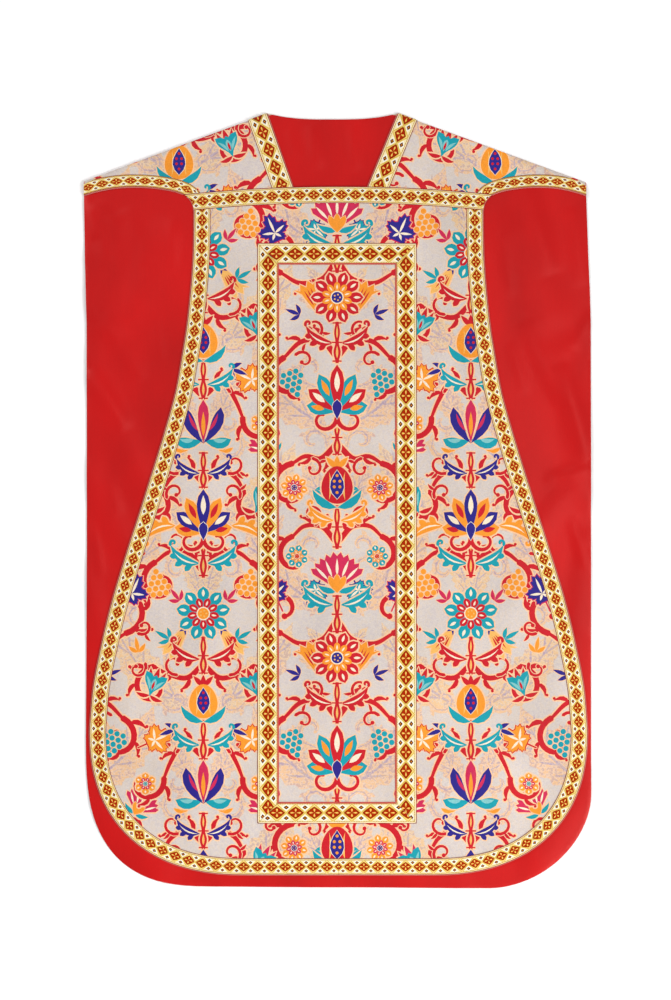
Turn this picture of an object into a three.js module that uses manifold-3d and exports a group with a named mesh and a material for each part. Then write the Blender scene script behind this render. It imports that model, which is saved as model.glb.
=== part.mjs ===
// A fiddleback (Roman) chasuble laid out flat, front upwards.
//
// Millimetres. +X runs across the garment, +Y from the hem to the neck, +Z up from the surface that it lies on.
// The origin is under the middle of the garment, on that surface. Left is -X and right is +X.
//
// The stack from the surface up: the back panel (brocade, its right side down), the back's satin lining, the front
// panel and the two shoulder pieces (brocade on interlining), and the braids sewn on them. All layers follow one
// lattice of heights, so they stay parallel over the soft waves, a seam's gap apart. Each piece is the slab between
// two heights over that lattice, cut to the piece's own outline.

import * as THREE from "three";
import { mergeVertices } from "three/addons/utils/BufferGeometryUtils.js";
import Module from "manifold-3d";

const wasm = await Module();
wasm.setup();

// ---------------------------------------------------------------- driving sizes

const NECK_Y = 541.65;
const BACK_THICK = 1.4;
const LINING_THICK = 1.0;
const FRONT_THICK = 1.8;
const BRAID_THICK = 1.0;
const SEAM_GAP = 0.3;

// Heights of the layers over the lattice.
const LINING_Z = BACK_THICK + SEAM_GAP;
const FRONT_Z = LINING_Z + LINING_THICK + SEAM_GAP;
const FRONT_TOP = FRONT_Z + FRONT_THICK;
const BRAID_Z = FRONT_TOP + SEAM_GAP;
const BRAID_TOP = BRAID_Z + BRAID_THICK;

// Radius of the cloth's outside where it turns down over the shoulder line.
const TURN_RADIUS = FRONT_TOP - LINING_Z;

// Braid widths: narrow round the edges and across the chest, wide round the neck and the column.
const EDGE_BRAID = 23;
const ARMHOLE_BRAID = 17;
const NECK_BRAID = 28.5;
const COLUMN_BRAID = 30;
const BRAID_INSET = 1.1;

// The yoke lies a few millimetres to the left of the skirt, so the two shoulders have sizes of their own.
const SHOULDER = {
  left: { sign: -1, tip: [-354.9, 446.6], neck: [-97.5, NECK_Y], neckFootX: -60.8 },
  right: { sign: 1, tip: [347.9, 445], neck: [83.5, NECK_Y], neckFootX: 40.8 },
};
const NECK_FOOT_Y = 438;
const BACK_NECK_DIP = 8.5;

// The back panel's sides, from the shoulder tip down to where the bottom corners begin.
const BACK_SIDE = {
  left: [
    { y: 425, x: -354.7 },
    { y: 340, x: -353.4 },
    { y: 292, x: -352 },
    { y: 245, x: -350.9 },
    { y: -100, x: -350.7 },
    { y: -338, x: -352.1 },
  ],
  right: [
    { y: 425, x: 348.1 },
    { y: 340, x: 351 },
    { y: 292, x: 353.2 },
    { y: 250, x: 354.4 },
    { y: -412, x: 354.9 },
  ],
};
const BACK_CORNER = {
  left: { across: 181, up: 202.2, power: 2.78 },
  right: { across: 141, up: 130.5, power: 1.85 },
};

// The armhole edge: its share of the way from the shoulder tip to the fiddle's side, and its height.
const ARMHOLE = [
  { share: 0, y: 426 },
  { share: 0.14, y: 432 },
  { share: 0.31, y: 436.5 },
  { share: 0.5, y: 437.5 },
  { share: 0.68, y: 435.5 },
  { share: 0.85, y: 430.5 },
  { share: 0.945, y: 423.5 },
  { share: 0.987, y: 414.4 },
  { share: 1, y: 404 },
];

// The fiddle-shaped front: its half widths about its own centre line, down to where the bottom corners begin.
const FIDDLE_CENTRE = 1.4;
const FIDDLE = [
  { y: 404, half: 203 },
  { y: 345, half: 204 },
  { y: 295, half: 207.5 },
  { y: 244, half: 213 },
  { y: 200, half: 220 },
  { y: 155, half: 228 },
  { y: 110, half: 240 },
  { y: 65, half: 253.5 },
  { y: -2, half: 274.5 },
  { y: -69, half: 296 },
  { y: -136, half: 316.5 },
  { y: -204, half: 333 },
  { y: -260, half: 344 },
  { y: -321, half: 349.3 },
];
const FIDDLE_CORNER = { across: 217.7, up: 203.5, power: 2.3 };

// The band across the chest, a shallow arch that covers the seam between the front and the shoulders.
const BAND = { middleTop: 439, sag: 10.5, halfSpan: 208, overSeam: 1.2 };

// The column, an upright rectangle framed in wide braid.
const COLUMN = { left: -112, right: 110.6, top: 359.8, foot: -451.5 };

// Creases of the laid cloth: both ends of each, how wide it is to either side, and how high it stands.
const CREASES = [
  { from: [-352, 196], to: [-268, 18], half: 22, high: 3.0 },
  { from: [-350, 40], to: [-296, -62], half: 20, high: 2.6 },
  { from: [-358, 330], to: [-336, 246], half: 26, high: 2.8 },
  { from: [-240, 372], to: [-286, 262], half: 28, high: 1.9 },
  { from: [-356, -96], to: [-332, -190], half: 22, high: 2.4 },
  { from: [250, 372], to: [298, 262], half: 32, high: 2.7 },
  { from: [318, 205], to: [358, 10], half: 26, high: 3.2 },
  { from: [330, 20], to: [268, -60], half: 20, high: 2.2 },
  { from: [354, -60], to: [338, -170], half: 21, high: 2.4 },
  { from: [-330, -430], to: [-250, -512], half: 28, high: 2.8 },
  { from: [350, -400], to: [282, -500], half: 28, high: 3.0 },
  { from: [-96, -552], to: [-18, -548], half: 32, high: 2.0 },
  { from: [104, -552], to: [168, -546], half: 28, high: 1.8 },
];
const CREASE_FLOOR = 0.5;

// Broad, shallow swells of the front where it stands off the back.
const SWELLS = [
  { at: [-150, 225], half: [56, 96], high: 1.3 },
  { at: [158, 190], half: [58, 104], high: 1.4 },
  { at: [0, 110], half: [66, 130], high: 1.2 },
  { at: [-6, -250], half: [64, 110], high: 1.4 },
  { at: [-200, -150], half: [70, 110], high: 1.7 },
  { at: [208, -190], half: [72, 112], high: 1.6 },
  { at: [-150, -390], half: [70, 60], high: 1.3 },
  { at: [166, -400], half: [72, 60], high: 1.2 },
];
const SWELL_FLOOR = 0.15;

// The lattice's lines are close together over the creased sides and wider apart over the middle.
const LATTICE = { middleReach: 228, middleCells: 6, sideReach: 382, sideCells: 7, reachY: 576, cellsY: 36 };
const CURVE_STEP = 26;
const FAR = 700;

// ---------------------------------------------------------------- heights of the cloth

// A crease's share of its height at a point: 1 on its line, fading smoothly to the sides and past its ends.
function creaseShare(x, y, { from, to, half }) {
  const dx = to[0] - from[0];
  const dy = to[1] - from[1];
  const run = ((x - from[0]) * dx + (y - from[1]) * dy) / (dx * dx + dy * dy);
  const along = THREE.MathUtils.clamp(run, 0, 1);
  const away = Math.hypot(x - from[0] - along * dx, y - from[1] - along * dy) / half;
  return Math.exp(-away * away);
}

// Height of the back's underside over the surface, 0 where the garment rests on it.
function backRise(x, y) {
  const rise = CREASES.reduce((sum, crease) => sum + crease.high * creaseShare(x, y, crease), 0);
  return Math.max(0, rise - CREASE_FLOOR);
}

// The same height under the front, which also swells a little off the back.
function frontRise(x, y) {
  const swell = SWELLS.reduce((sum, { at, half, high }) => {
    const away = ((x - at[0]) / half[0]) ** 2 + ((y - at[1]) / half[1]) ** 2;
    return sum + high * Math.exp(-away);
  }, 0);
  return backRise(x, y) + Math.max(0, swell - SWELL_FLOOR);
}

// ---------------------------------------------------------------- curves and outlines

const evenly = (from, to, count) => Array.from({ length: count + 1 }, (_, i) => from + ((to - from) * i) / count);

// Points about one step apart on the smooth curve through a row of points.
function smoothThrough(points, step = CURVE_STEP) {
  const corners = points.map(([x, y]) => new THREE.Vector3(x, y, 0));
  const curve = new THREE.CatmullRomCurve3(corners, false, "centripetal");
  return curve.getSpacedPoints(Math.max(2, Math.round(curve.getLength() / step))).map((p) => [p.x, p.y]);
}

// A rounded corner, from an upright side to a level hem, as a quarter of a superellipse.
function cornerCurve(sign, [startX, startY], { across, up, power }, steps) {
  return evenly(0, Math.PI / 2, steps).map((turn) => [
    startX - sign * across * (1 - Math.abs(Math.cos(turn)) ** (2 / power)),
    startY - up * Math.sin(turn) ** (2 / power),
  ]);
}

// A curve moved sideways: by a positive distance to the left of its run.
function moved(curve, distance) {
  return curve.map(([x, y], i) => {
    const [ax, ay] = curve[Math.max(0, i - 1)];
    const [bx, by] = curve[Math.min(curve.length - 1, i + 1)];
    const length = Math.hypot(bx - ax, by - ay);
    return [x - (distance * (by - ay)) / length, y + (distance * (bx - ax)) / length];
  });
}

// The armhole edge, from the shoulder tip to the fiddle's side.
function armholeCurve({ sign, tip }) {
  const foot = FIDDLE_CENTRE + sign * FIDDLE[0].half;
  return smoothThrough(ARMHOLE.map(({ share, y }) => [tip[0] + share * (foot - tip[0]), y]), 10);
}

// One side of the fiddle, from the armhole down and round to the middle of the hem.
function fiddleCurve({ sign }) {
  const side = FIDDLE.map(({ y, half }) => [FIDDLE_CENTRE + sign * half, y]);
  const corner = cornerCurve(sign, side.at(-1), FIDDLE_CORNER, 14);
  return [...smoothThrough(side), ...corner.slice(1), [FIDDLE_CENTRE, corner.at(-1)[1]]];
}

// The front and shoulders as one outline, moved in from the edge, open past the shoulder lines.
function frontOutline(inset = 0) {
  const [left, right] = [SHOULDER.left, SHOULDER.right].map((shoulder) => {
    const edge = [...armholeCurve(shoulder).slice(0, -1), ...fiddleCurve(shoulder)];
    return moved(edge, -shoulder.sign * inset);
  });
  const tops = [
    [SHOULDER.right.tip[0], NECK_Y + CURVE_STEP],
    [SHOULDER.left.tip[0], NECK_Y + CURVE_STEP],
  ];
  return [...left, ...right.slice(0, -1).reverse(), ...tops];
}

// The back panel's outline, moved in from the two shoulder lines.
function backOutline(shoulderInset = 0) {
  const [left, right] = ["left", "right"].map((name) => {
    const { sign, tip, neck } = SHOULDER[name];
    const drop = shoulderInset * Math.hypot(1, (neck[1] - tip[1]) / (neck[0] - tip[0]));
    const side = [[tip[0], tip[1] - drop], ...BACK_SIDE[name].map(({ x, y }) => [x, y])];
    const corner = cornerCurve(sign, side.at(-1), BACK_CORNER[name], 12);
    return [[neck[0], neck[1] - drop], ...side, ...corner.slice(1)];
  });
  const neckline = evenly(0.06, 0.94, 10).map((share) => [
    THREE.MathUtils.lerp(right[0][0], left[0][0], share),
    NECK_Y - BACK_NECK_DIP * (1 - Math.abs(2 * share - 1) ** 3),
  ]);
  return [...left, ...right.reverse(), ...neckline];
}

// The arch of the band's top edge, moved down by a distance, across the whole garment.
function archCurve(down) {
  return evenly(-400, 400, 40).map((x) => {
    const share = (x - FIDDLE_CENTRE) / BAND.halfSpan;
    return [x, BAND.middleTop - BAND.sag * share * share - down];
  });
}

const belowArch = (down) => [...archCurve(down), [FAR, -FAR], [-FAR, -FAR]];
const aboveArch = (down) => [...archCurve(down), [FAR, FAR], [-FAR, FAR]];

// The strip beside a neck edge, between two distances from the opening.
function neckStrip({ sign, neck, neckFootX }, near, far) {
  const lean = (neck[0] - neckFootX) / (NECK_Y - NECK_FOOT_Y);
  const spread = sign * Math.hypot(1, lean);
  const at = (y, distance) => [neckFootX + lean * (y - NECK_FOOT_Y) + spread * distance, y];
  const low = NECK_FOOT_Y - EDGE_BRAID;
  const high = NECK_Y + EDGE_BRAID;
  return [at(low, near), at(high, near), at(high, far), at(low, far)];
}

// One side of the column's frame, cut at 45 degrees at both ends, with half a seam's gap at each cut.
function columnSide(side) {
  const { left, right, top, foot } = COLUMN;
  const trim = SEAM_GAP * Math.SQRT1_2;
  const outer = { left: [[left, foot], [left, top]], right: [[right, top], [right, foot]] };
  outer.top = [outer.left[1], outer.right[0]];
  outer.foot = [outer.right[1], outer.left[0]];
  const [[ax, ay], [bx, by]] = outer[side];
  const length = Math.hypot(bx - ax, by - ay);
  const [tx, ty] = [(bx - ax) / length, (by - ay) / length];
  const at = (x, y, along, inward) => [x + tx * along + ty * inward, y + ty * along - tx * inward];
  return [
    at(ax, ay, trim, 0),
    at(bx, by, -trim, 0),
    at(bx, by, -trim - COLUMN_BRAID, COLUMN_BRAID),
    at(ax, ay, trim + COLUMN_BRAID, COLUMN_BRAID),
  ];
}

// ---------------------------------------------------------------- solids

function toSolid(geometry) {
  geometry.deleteAttribute("normal");
  geometry.deleteAttribute("uv");
  const merged = mergeVertices(geometry, 1e-4);
  return new wasm.Manifold(
    new wasm.Mesh({
      numProp: 3,
      vertProperties: merged.attributes.position.array,
      triVerts: new Uint32Array(merged.index.array),
    }),
  );
}

// The whole lattice between two heights over the cloth, as one closed slab.
function slab(rise, low, high) {
  const { middleReach, middleCells, sideReach, sideCells, reachY, cellsY } = LATTICE;
  const xs = [
    ...evenly(-sideReach, -middleReach, sideCells),
    ...evenly(-middleReach, middleReach, middleCells).slice(1),
    ...evenly(middleReach, sideReach, sideCells).slice(1),
  ];
  const ys = evenly(-reachY, reachY, cellsY);
  const level = (height) => ys.flatMap((y) => xs.flatMap((x) => [x, y, rise(x, y) + height]));
  const across = xs.length;
  const count = across * ys.length;
  const index = [];
  for (let row = 0; row + 1 < ys.length; row++) {
    for (let a = row * across; a + 1 < (row + 1) * across; a++) {
      const [b, c, d] = [a + 1, a + across, a + across + 1];
      index.push(a, d, b, a, c, d);
      index.push(count + a, count + b, count + d, count + a, count + d, count + c);
    }
  }
  const columns = evenly(0, across - 1, across - 1);
  const rows = evenly(0, ys.length - 1, ys.length - 1);
  const rim = [
    ...columns.slice(0, -1),
    ...rows.slice(0, -1).map((row) => row * across + across - 1),
    ...columns.slice(1).reverse().map((column) => count - across + column),
    ...rows.slice(1).reverse().map((row) => row * across),
  ];
  rim.forEach((p, i) => {
    const q = rim[(i + 1) % rim.length];
    index.push(p, q, count + q, p, count + q, count + p);
  });
  const geometry = new THREE.BufferGeometry();
  geometry.setAttribute("position", new THREE.Float32BufferAttribute([...level(low), ...level(high)], 3));
  geometry.setIndex(index);
  return toSolid(geometry);
}

// The tall prism over an outline, which a slab is cut with.
function prism(outline) {
  const shape = new THREE.Shape(outline.map(([x, y]) => new THREE.Vector2(x, y)));
  const geometry = new THREE.ExtrudeGeometry(shape, { depth: 60, bevelEnabled: false });
  return toSolid(geometry.translate(0, 0, -20));
}

// The shoulder line's run, the direction into the garment, and the axis that a layer turns down about.
function shoulderLine({ sign, tip, neck }) {
  const run = new THREE.Vector3(neck[0] - tip[0], neck[1] - tip[1], 0);
  const along = run.clone().normalize();
  const into = new THREE.Vector3(-sign * along.y, sign * along.x, 0);
  const axis = new THREE.Vector3(tip[0], tip[1], LINING_Z).addScaledVector(into, TURN_RADIUS);
  return { length: run.length(), along, into, axis };
}

// The quarter turn of a layer over a shoulder line, from its own height down to the lining's underside.
function shoulderTurn(shoulder, low, high) {
  const { length, along, into, axis } = shoulderLine(shoulder);
  const inner = low - LINING_Z;
  const outer = high - LINING_Z;
  const profile = new THREE.Shape();
  profile.absarc(0, 0, outer, Math.PI, Math.PI / 2, true);
  profile.lineTo(SEAM_GAP, outer);
  profile.lineTo(SEAM_GAP, inner);
  profile.absarc(0, 0, inner, Math.PI / 2, Math.PI, false);
  const depth = length + 2 * CURVE_STEP;
  const geometry = new THREE.ExtrudeGeometry(profile, { depth, bevelEnabled: false, curveSegments: 5 });
  const up = new THREE.Vector3(0, 0, 1);
  const sideways = new THREE.Vector3().crossVectors(into, up);
  const start = axis.addScaledVector(along, length / 2).addScaledVector(sideways, -depth / 2);
  return toSolid(geometry.applyMatrix4(new THREE.Matrix4().makeBasis(into, up, sideways).setPosition(start)));
}

// The part of the garment that lies flat, inside both turns.
function flatRegion() {
  const [left, right] = [SHOULDER.left, SHOULDER.right].map((shoulder) => {
    const { length, along, axis } = shoulderLine(shoulder);
    return [-FAR, length + 6].map((distance) => [axis.x + along.x * distance, axis.y + along.y * distance]);
  });
  return [...left, ...right.reverse(), [FAR, -FAR], [-FAR, -FAR]];
}

const flatLayer = (low, high) => slab(frontRise, low, high).intersect(prism(flatRegion()));
const cut = (solid, ...outlines) => outlines.reduce((rest, outline) => rest.intersect(prism(outline)), solid);

// ---------------------------------------------------------------- pieces

const frontFlat = flatLayer(FRONT_Z, FRONT_TOP);
const braidFlat = flatLayer(BRAID_Z, BRAID_TOP);
const outline = frontOutline();
const braidOutline = frontOutline(BRAID_INSET);
const bandTop = archCurve(0);
const bandFoot = archCurve(EDGE_BRAID);

const pieces = [
  { name: "back_panel", slot: "brocade", solid: cut(slab(backRise, 0, BACK_THICK), backOutline()) },
  {
    name: "back_lining",
    slot: "lining_satin",
    solid: cut(slab(backRise, LINING_Z, LINING_Z + LINING_THICK), backOutline(TURN_RADIUS)),
  },
  { name: "front_panel", slot: "brocade", solid: cut(frontFlat, outline, belowArch(BAND.overSeam)) },
  {
    name: "band_braid",
    slot: "galloon_narrow",
    solid: cut(braidFlat, braidOutline, [...bandTop, ...bandFoot.reverse()]),
  },
];

for (const [name, shoulder] of Object.entries(SHOULDER)) {
  const beside = neckStrip(shoulder, 0, FAR);
  const turned = frontFlat.add(shoulderTurn(shoulder, FRONT_Z, FRONT_TOP));
  const braidTurned = braidFlat.add(shoulderTurn(shoulder, BRAID_Z, BRAID_TOP));
  const armhole = armholeCurve(shoulder);
  const inset = -shoulder.sign * BRAID_INSET;
  const armholeStrip = [
    ...moved(armhole, inset),
    ...moved(armhole, inset - shoulder.sign * ARMHOLE_BRAID).reverse(),
  ];
  const edge = [...armhole.slice(-2, -1), ...fiddleCurve(shoulder)];
  edge.at(-1)[0] += (shoulder.sign * SEAM_GAP) / 2;
  const edgeStrip = [...moved(edge, inset), ...moved(edge, inset - shoulder.sign * EDGE_BRAID).reverse()];
  const neckBraid = neckStrip(shoulder, BRAID_INSET, BRAID_INSET + NECK_BRAID);
  pieces.push(
    {
      name: `shoulder_${name}`,
      slot: "brocade",
      solid: cut(turned, outline, beside, aboveArch(BAND.overSeam - SEAM_GAP)),
    },
    { name: `edge_braid_${name}`, slot: "galloon_narrow", solid: cut(braidFlat, edgeStrip, belowArch(EDGE_BRAID + SEAM_GAP)) },
    {
      name: `armhole_braid_${name}`,
      slot: "galloon_narrow",
      solid: cut(braidFlat, armholeStrip, outline, aboveArch(-SEAM_GAP)),
    },
    {
      name: `neck_braid_${name}`,
      slot: "galloon_wide",
      solid: cut(braidTurned, neckBraid, aboveArch(-SEAM_GAP)),
    },
  );
}

for (const side of ["left", "right", "top", "foot"]) {
  pieces.push({ name: `column_braid_${side}`, slot: "galloon_wide", solid: cut(braidFlat, columnSide(side)) });
}

// ---------------------------------------------------------------- meshes

const LOOKS = {
  brocade: { color: 0xd8cdc2, roughness: 0.6 },
  lining_satin: { color: 0xcf2a2c, roughness: 0.35 },
  galloon_narrow: { color: 0xd9b569, roughness: 0.5 },
  galloon_wide: { color: 0xcfa558, roughness: 0.5 },
};

function toMesh({ name, slot, solid }) {
  const { vertProperties, triVerts } = solid.getMesh();
  const geometry = new THREE.BufferGeometry();
  geometry.setAttribute("position", new THREE.BufferAttribute(vertProperties, 3));
  geometry.setIndex(new THREE.BufferAttribute(triVerts, 1));
  geometry.computeVertexNormals();
  const mesh = new THREE.Mesh(geometry, new THREE.MeshStandardMaterial(LOOKS[slot]));
  mesh.name = name;
  return mesh;
}

const chasuble = new THREE.Group();
chasuble.name = "fiddleback_chasuble";
chasuble.add(...pieces.map(toMesh));

export default chasuble;
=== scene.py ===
import math

import bpy
import numpy as np
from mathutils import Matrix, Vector
from mathutils.geometry import delaunay_2d_cdt


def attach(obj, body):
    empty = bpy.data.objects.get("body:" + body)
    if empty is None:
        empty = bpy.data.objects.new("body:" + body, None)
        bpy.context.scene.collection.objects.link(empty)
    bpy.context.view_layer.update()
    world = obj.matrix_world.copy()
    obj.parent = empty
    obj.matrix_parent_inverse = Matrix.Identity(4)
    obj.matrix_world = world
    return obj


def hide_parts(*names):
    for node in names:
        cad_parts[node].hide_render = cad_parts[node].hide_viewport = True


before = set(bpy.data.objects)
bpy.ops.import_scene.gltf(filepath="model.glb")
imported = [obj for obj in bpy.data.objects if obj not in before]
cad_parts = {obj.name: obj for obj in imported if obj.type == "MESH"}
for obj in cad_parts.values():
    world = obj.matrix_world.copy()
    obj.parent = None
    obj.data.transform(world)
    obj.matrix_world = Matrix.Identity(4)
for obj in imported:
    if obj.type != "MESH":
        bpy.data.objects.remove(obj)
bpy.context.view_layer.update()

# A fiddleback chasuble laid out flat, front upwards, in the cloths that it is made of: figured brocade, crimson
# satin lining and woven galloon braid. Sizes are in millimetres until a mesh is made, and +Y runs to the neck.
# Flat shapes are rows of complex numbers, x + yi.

MM = 0.001

# ---------------------------------------------------------------- sizes, as the solids have them

NECK_Y = 541.65
NECK_FOOT_Y = 438
BACK_THICK = 1.4
LINING_THICK = 1.0
FRONT_THICK = 1.8
BRAID_THICK = 1.0
SEAM_GAP = 0.3
LINING_Z = BACK_THICK + SEAM_GAP
FRONT_Z = LINING_Z + LINING_THICK + SEAM_GAP
FRONT_TOP = FRONT_Z + FRONT_THICK
BRAID_TOP = FRONT_TOP + SEAM_GAP + BRAID_THICK
TURN_RADIUS = FRONT_TOP - LINING_Z
TURN_LENGTH = TURN_RADIUS * math.pi / 2

EDGE_BRAID = 23
ARMHOLE_BRAID = 17
NECK_BRAID = 28.5
COLUMN_BRAID = 30
BRAID_INSET = 1.1

# sign of the side, shoulder tip, neck point, and where the neck edge meets the chest band
SHOULDERS = {
    "left": dict(sign=-1, tip=-354.9 + 446.6j, neck=-97.5 + NECK_Y * 1j, foot=-60.8),
    "right": dict(sign=1, tip=347.9 + 445j, neck=83.5 + NECK_Y * 1j, foot=40.8),
}
BACK_NECK_DIP = 8.5
# distance between the points of each edge
ARMHOLE_STEP, FIDDLE_STEP, SIDE_STEP, SHOULDER_LINE_STEP, HEM_STEP, TURNED_STEP = 4, 6, 9, 12, 10, 3
BACK_SIDE = {
    "left": [-354.7 + 425j, -353.4 + 340j, -352 + 292j, -350.9 + 245j, -350.7 - 100j, -352.1 - 338j],
    "right": [348.1 + 425j, 351 + 340j, 353.2 + 292j, 354.4 + 250j, 354.9 - 412j],
}
# of a rounded corner: how far it goes across and up, and the power of its curve
BACK_CORNER = {"left": (181, 202.2, 2.78), "right": (141, 130.5, 1.85)}

# share of the way from the shoulder tip to the fiddle's side, and height
ARMHOLE = [(0, 426), (0.14, 432), (0.31, 436.5), (0.5, 437.5), (0.68, 435.5), (0.85, 430.5), (0.945, 423.5),
           (0.987, 414.4), (1, 404)]
FIDDLE_CENTRE = 1.4
# height and half width
FIDDLE = [(404, 203), (345, 204), (295, 207.5), (244, 213), (200, 220), (155, 228), (110, 240), (65, 253.5),
          (-2, 274.5), (-69, 296), (-136, 316.5), (-204, 333), (-260, 344), (-321, 349.3)]
FIDDLE_CORNER = (217.7, 203.5, 2.3)
BAND_TOP, BAND_SAG, BAND_HALF, BAND_OVER_SEAM = 439, 10.5, 208, 1.2
COLUMN = dict(left=-112, right=110.6, top=359.8, foot=-451.5)

# Creases of the back and of all that lies on it, as in the solids: one end, the other end, how wide to either
# side, how high.
CREASES = [
    (-352 + 196j, -268 + 18j, 22, 3.0),
    (-350 + 40j, -296 - 62j, 20, 2.6),
    (-358 + 330j, -336 + 246j, 26, 2.8),
    (-240 + 372j, -286 + 262j, 28, 1.9),
    (-356 - 96j, -332 - 190j, 22, 2.4),
    (250 + 372j, 298 + 262j, 32, 2.7),
    (318 + 205j, 358 + 10j, 26, 3.2),
    (330 + 20j, 268 - 60j, 20, 2.2),
    (354 - 60j, 338 - 170j, 21, 2.4),
    (-330 - 430j, -250 - 512j, 28, 2.8),
    (350 - 400j, 282 - 500j, 28, 3.0),
    (-96 - 552j, -18 - 548j, 32, 2.0),
    (104 - 552j, 168 - 546j, 28, 1.8),
]
CREASE_FLOOR = 0.5
# Swells of the front alone: middle, how wide across, how long, how high.
SWELLS = [
    (-150 + 225j, 56, 96, 1.3),
    (158 + 190j, 58, 104, 1.4),
    (110j, 66, 130, 1.2),
    (-6 - 250j, 64, 110, 1.4),
    (-200 - 150j, 70, 110, 1.7),
    (208 - 190j, 72, 112, 1.6),
    (-150 - 390j, 70, 60, 1.3),
    (166 - 400j, 72, 60, 1.2),
]
SWELL_FLOOR = 0.15
# Small folds and ripples of the satin alone: one end, the other end, width to either side, height.
RIPPLE_FADE = 0.6
RIPPLES = [
    (-338 + 420j, -318 + 318j, 13, 2.2),
    (-352 + 428j, -338 + 366j, 8, 1.9),
    (-346 + 412j, -300 + 392j, 8, 1.4),
    (-356 + 300j, -338 + 250j, 8, 1.6),
    (-300 + 408j, -262 + 330j, 14, 1.8),
    (-232 + 396j, -228 + 318j, 9, 1.2),
    (-330 + 262j, -272 + 168j, 13, 2.4),
    (-258 + 262j, -246 + 196j, 8, 1.2),
    (-347 + 182j, -294 + 100j, 12, 2.8),
    (-320 + 30j, -304 - 20j, 8, 1.4),
    (-344 - 30j, -328 - 110j, 7, 1.5),
    (228 + 380j, 244 + 286j, 8, 1.3),
    (262 + 440j, 302 + 318j, 16, 3.0),
    (328 + 410j, 342 + 300j, 11, 1.8),
    (262 + 250j, 314 + 130j, 13, 2.4),
    (356 + 262j, 330 + 212j, 8, 1.6),
    (312 + 190j, 352 + 54j, 13, 3.2),
    (290 + 28j, 358 + 46j, 9, 1.9),
    (242 + 220j, 264 + 150j, 8, 1.2),
    (326 - 20j, 348 - 96j, 8, 1.7),
    (-38 + 526j, -26 + 464j, 11, 2.0),
    (20 + 526j, 26 + 462j, 9, 1.5),
    (-68 + 520j, -56 + 472j, 7, 1.0),
]

# ---------------------------------------------------------------- heights of the cloth


def ridges(points, rows, fade=0.0):
    """Sum of the soft ridges in a table, over flat points. With a fade they sink away towards both ends."""
    total = np.zeros(len(points))
    for start, end, half, high in rows:
        run = end - start
        along = np.clip(((points - start) * np.conj(run)).real / abs(run) ** 2, 0, 1)
        tall = high * (4 * along * (1 - along)) ** fade
        total += tall * np.exp(-((abs(points - start - along * run) / half) ** 2))
    return total


def rounded(height, softness=0.08):
    """The height where it is above zero, meeting zero in a short curve."""
    return (height + np.sqrt(height**2 + softness**2)) / 2


def back_rise(points):
    return rounded(ridges(points, CREASES) - CREASE_FLOOR)


def lining_rise(points):
    return back_rise(points) + ridges(points, RIPPLES, RIPPLE_FADE)


def front_rise(points):
    swell = sum(
        high * np.exp(-(((points.real - at.real) / across) ** 2) - ((points.imag - at.imag) / up) ** 2)
        for at, across, up, high in SWELLS
    )
    return back_rise(points) + rounded(swell - SWELL_FLOOR)


def flat_lay(rise):
    """Lays flat points at a height over the cloth's own rise."""

    def lay(points, height):
        return np.column_stack([points.real, points.imag, rise(points) + height])

    return lay


def outward(side):
    """Unit direction out across a side's shoulder line."""
    along = side["neck"] - side["tip"]
    return along / abs(along) * 1j * -side["sign"]


def past_turn(points, side):
    """How far flat points lie past the axis about which a shoulder piece turns down."""
    return ((points - side["tip"]) * np.conj(outward(side))).real + TURN_RADIUS


def turned_lay(points, height):
    """Lays flat points of the front, turning what runs past a shoulder line down over it."""
    placed = flat_lay(front_rise)(points, height)
    for side in SHOULDERS.values():
        out, past = outward(side), past_turn(points, side)
        over = (past > 0) & (points.real * side["sign"] > 0)
        turn = past[over] / TURN_RADIUS
        radius = (height + np.zeros(len(points)))[over] - LINING_Z
        moved_to = points[over] - past[over] * out + radius * np.sin(turn) * out
        placed[over] = np.column_stack([moved_to.real, moved_to.imag, LINING_Z + radius * np.cos(turn)])
    return placed


# ---------------------------------------------------------------- curves


def resample(path, step):
    """The same path with its points about one step apart."""
    run = np.concatenate([[0], np.cumsum(abs(np.diff(path)))])
    at = np.linspace(0, run[-1], max(2, round(run[-1] / step) + 1))
    return np.interp(at, run, path.real) + 1j * np.interp(at, run, path.imag)


def smooth(points, step):
    """Points about one step apart on the smooth curve through a row of points."""
    p = np.asarray(points, complex)
    p = np.concatenate([[2 * p[0] - p[1]], p, [2 * p[-1] - p[-2]]])
    dense = []
    for i in range(1, len(p) - 2):
        q = p[i - 1 : i + 3]
        t = np.concatenate([[0], np.cumsum(np.sqrt(abs(np.diff(q))))])
        u = np.linspace(t[1], t[2], 16, endpoint=False)
        a = [((t[k + 1] - u) * q[k] + (u - t[k]) * q[k + 1]) / (t[k + 1] - t[k]) for k in range(3)]
        b = [((t[k + 2] - u) * a[k] + (u - t[k]) * a[k + 1]) / (t[k + 2] - t[k]) for k in range(2)]
        dense.append(((t[2] - u) * b[0] + (u - t[1]) * b[1]) / (t[2] - t[1]))
    return resample(np.concatenate([*dense, p[-2:-1]]), step)


def corner(sign, start, across, up, power, count=24):
    """A rounded bottom corner, from an upright side to a level hem."""
    turn = np.linspace(0, math.pi / 2, count)
    inward = across * (1 - abs(np.cos(turn)) ** (2 / power))
    return start - sign * inward - 1j * up * np.sin(turn) ** (2 / power)


def normals(path):
    """Unit directions to the left of a path's run."""
    run = np.gradient(path)
    return 1j * run / abs(run)


def moved(path, distance):
    return path + normals(path) * distance


def armhole_curve(side):
    foot = FIDDLE_CENTRE + side["sign"] * FIDDLE[0][1]
    tip = side["tip"].real
    return smooth([tip + share * (foot - tip) + 1j * y for share, y in ARMHOLE], ARMHOLE_STEP)


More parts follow.
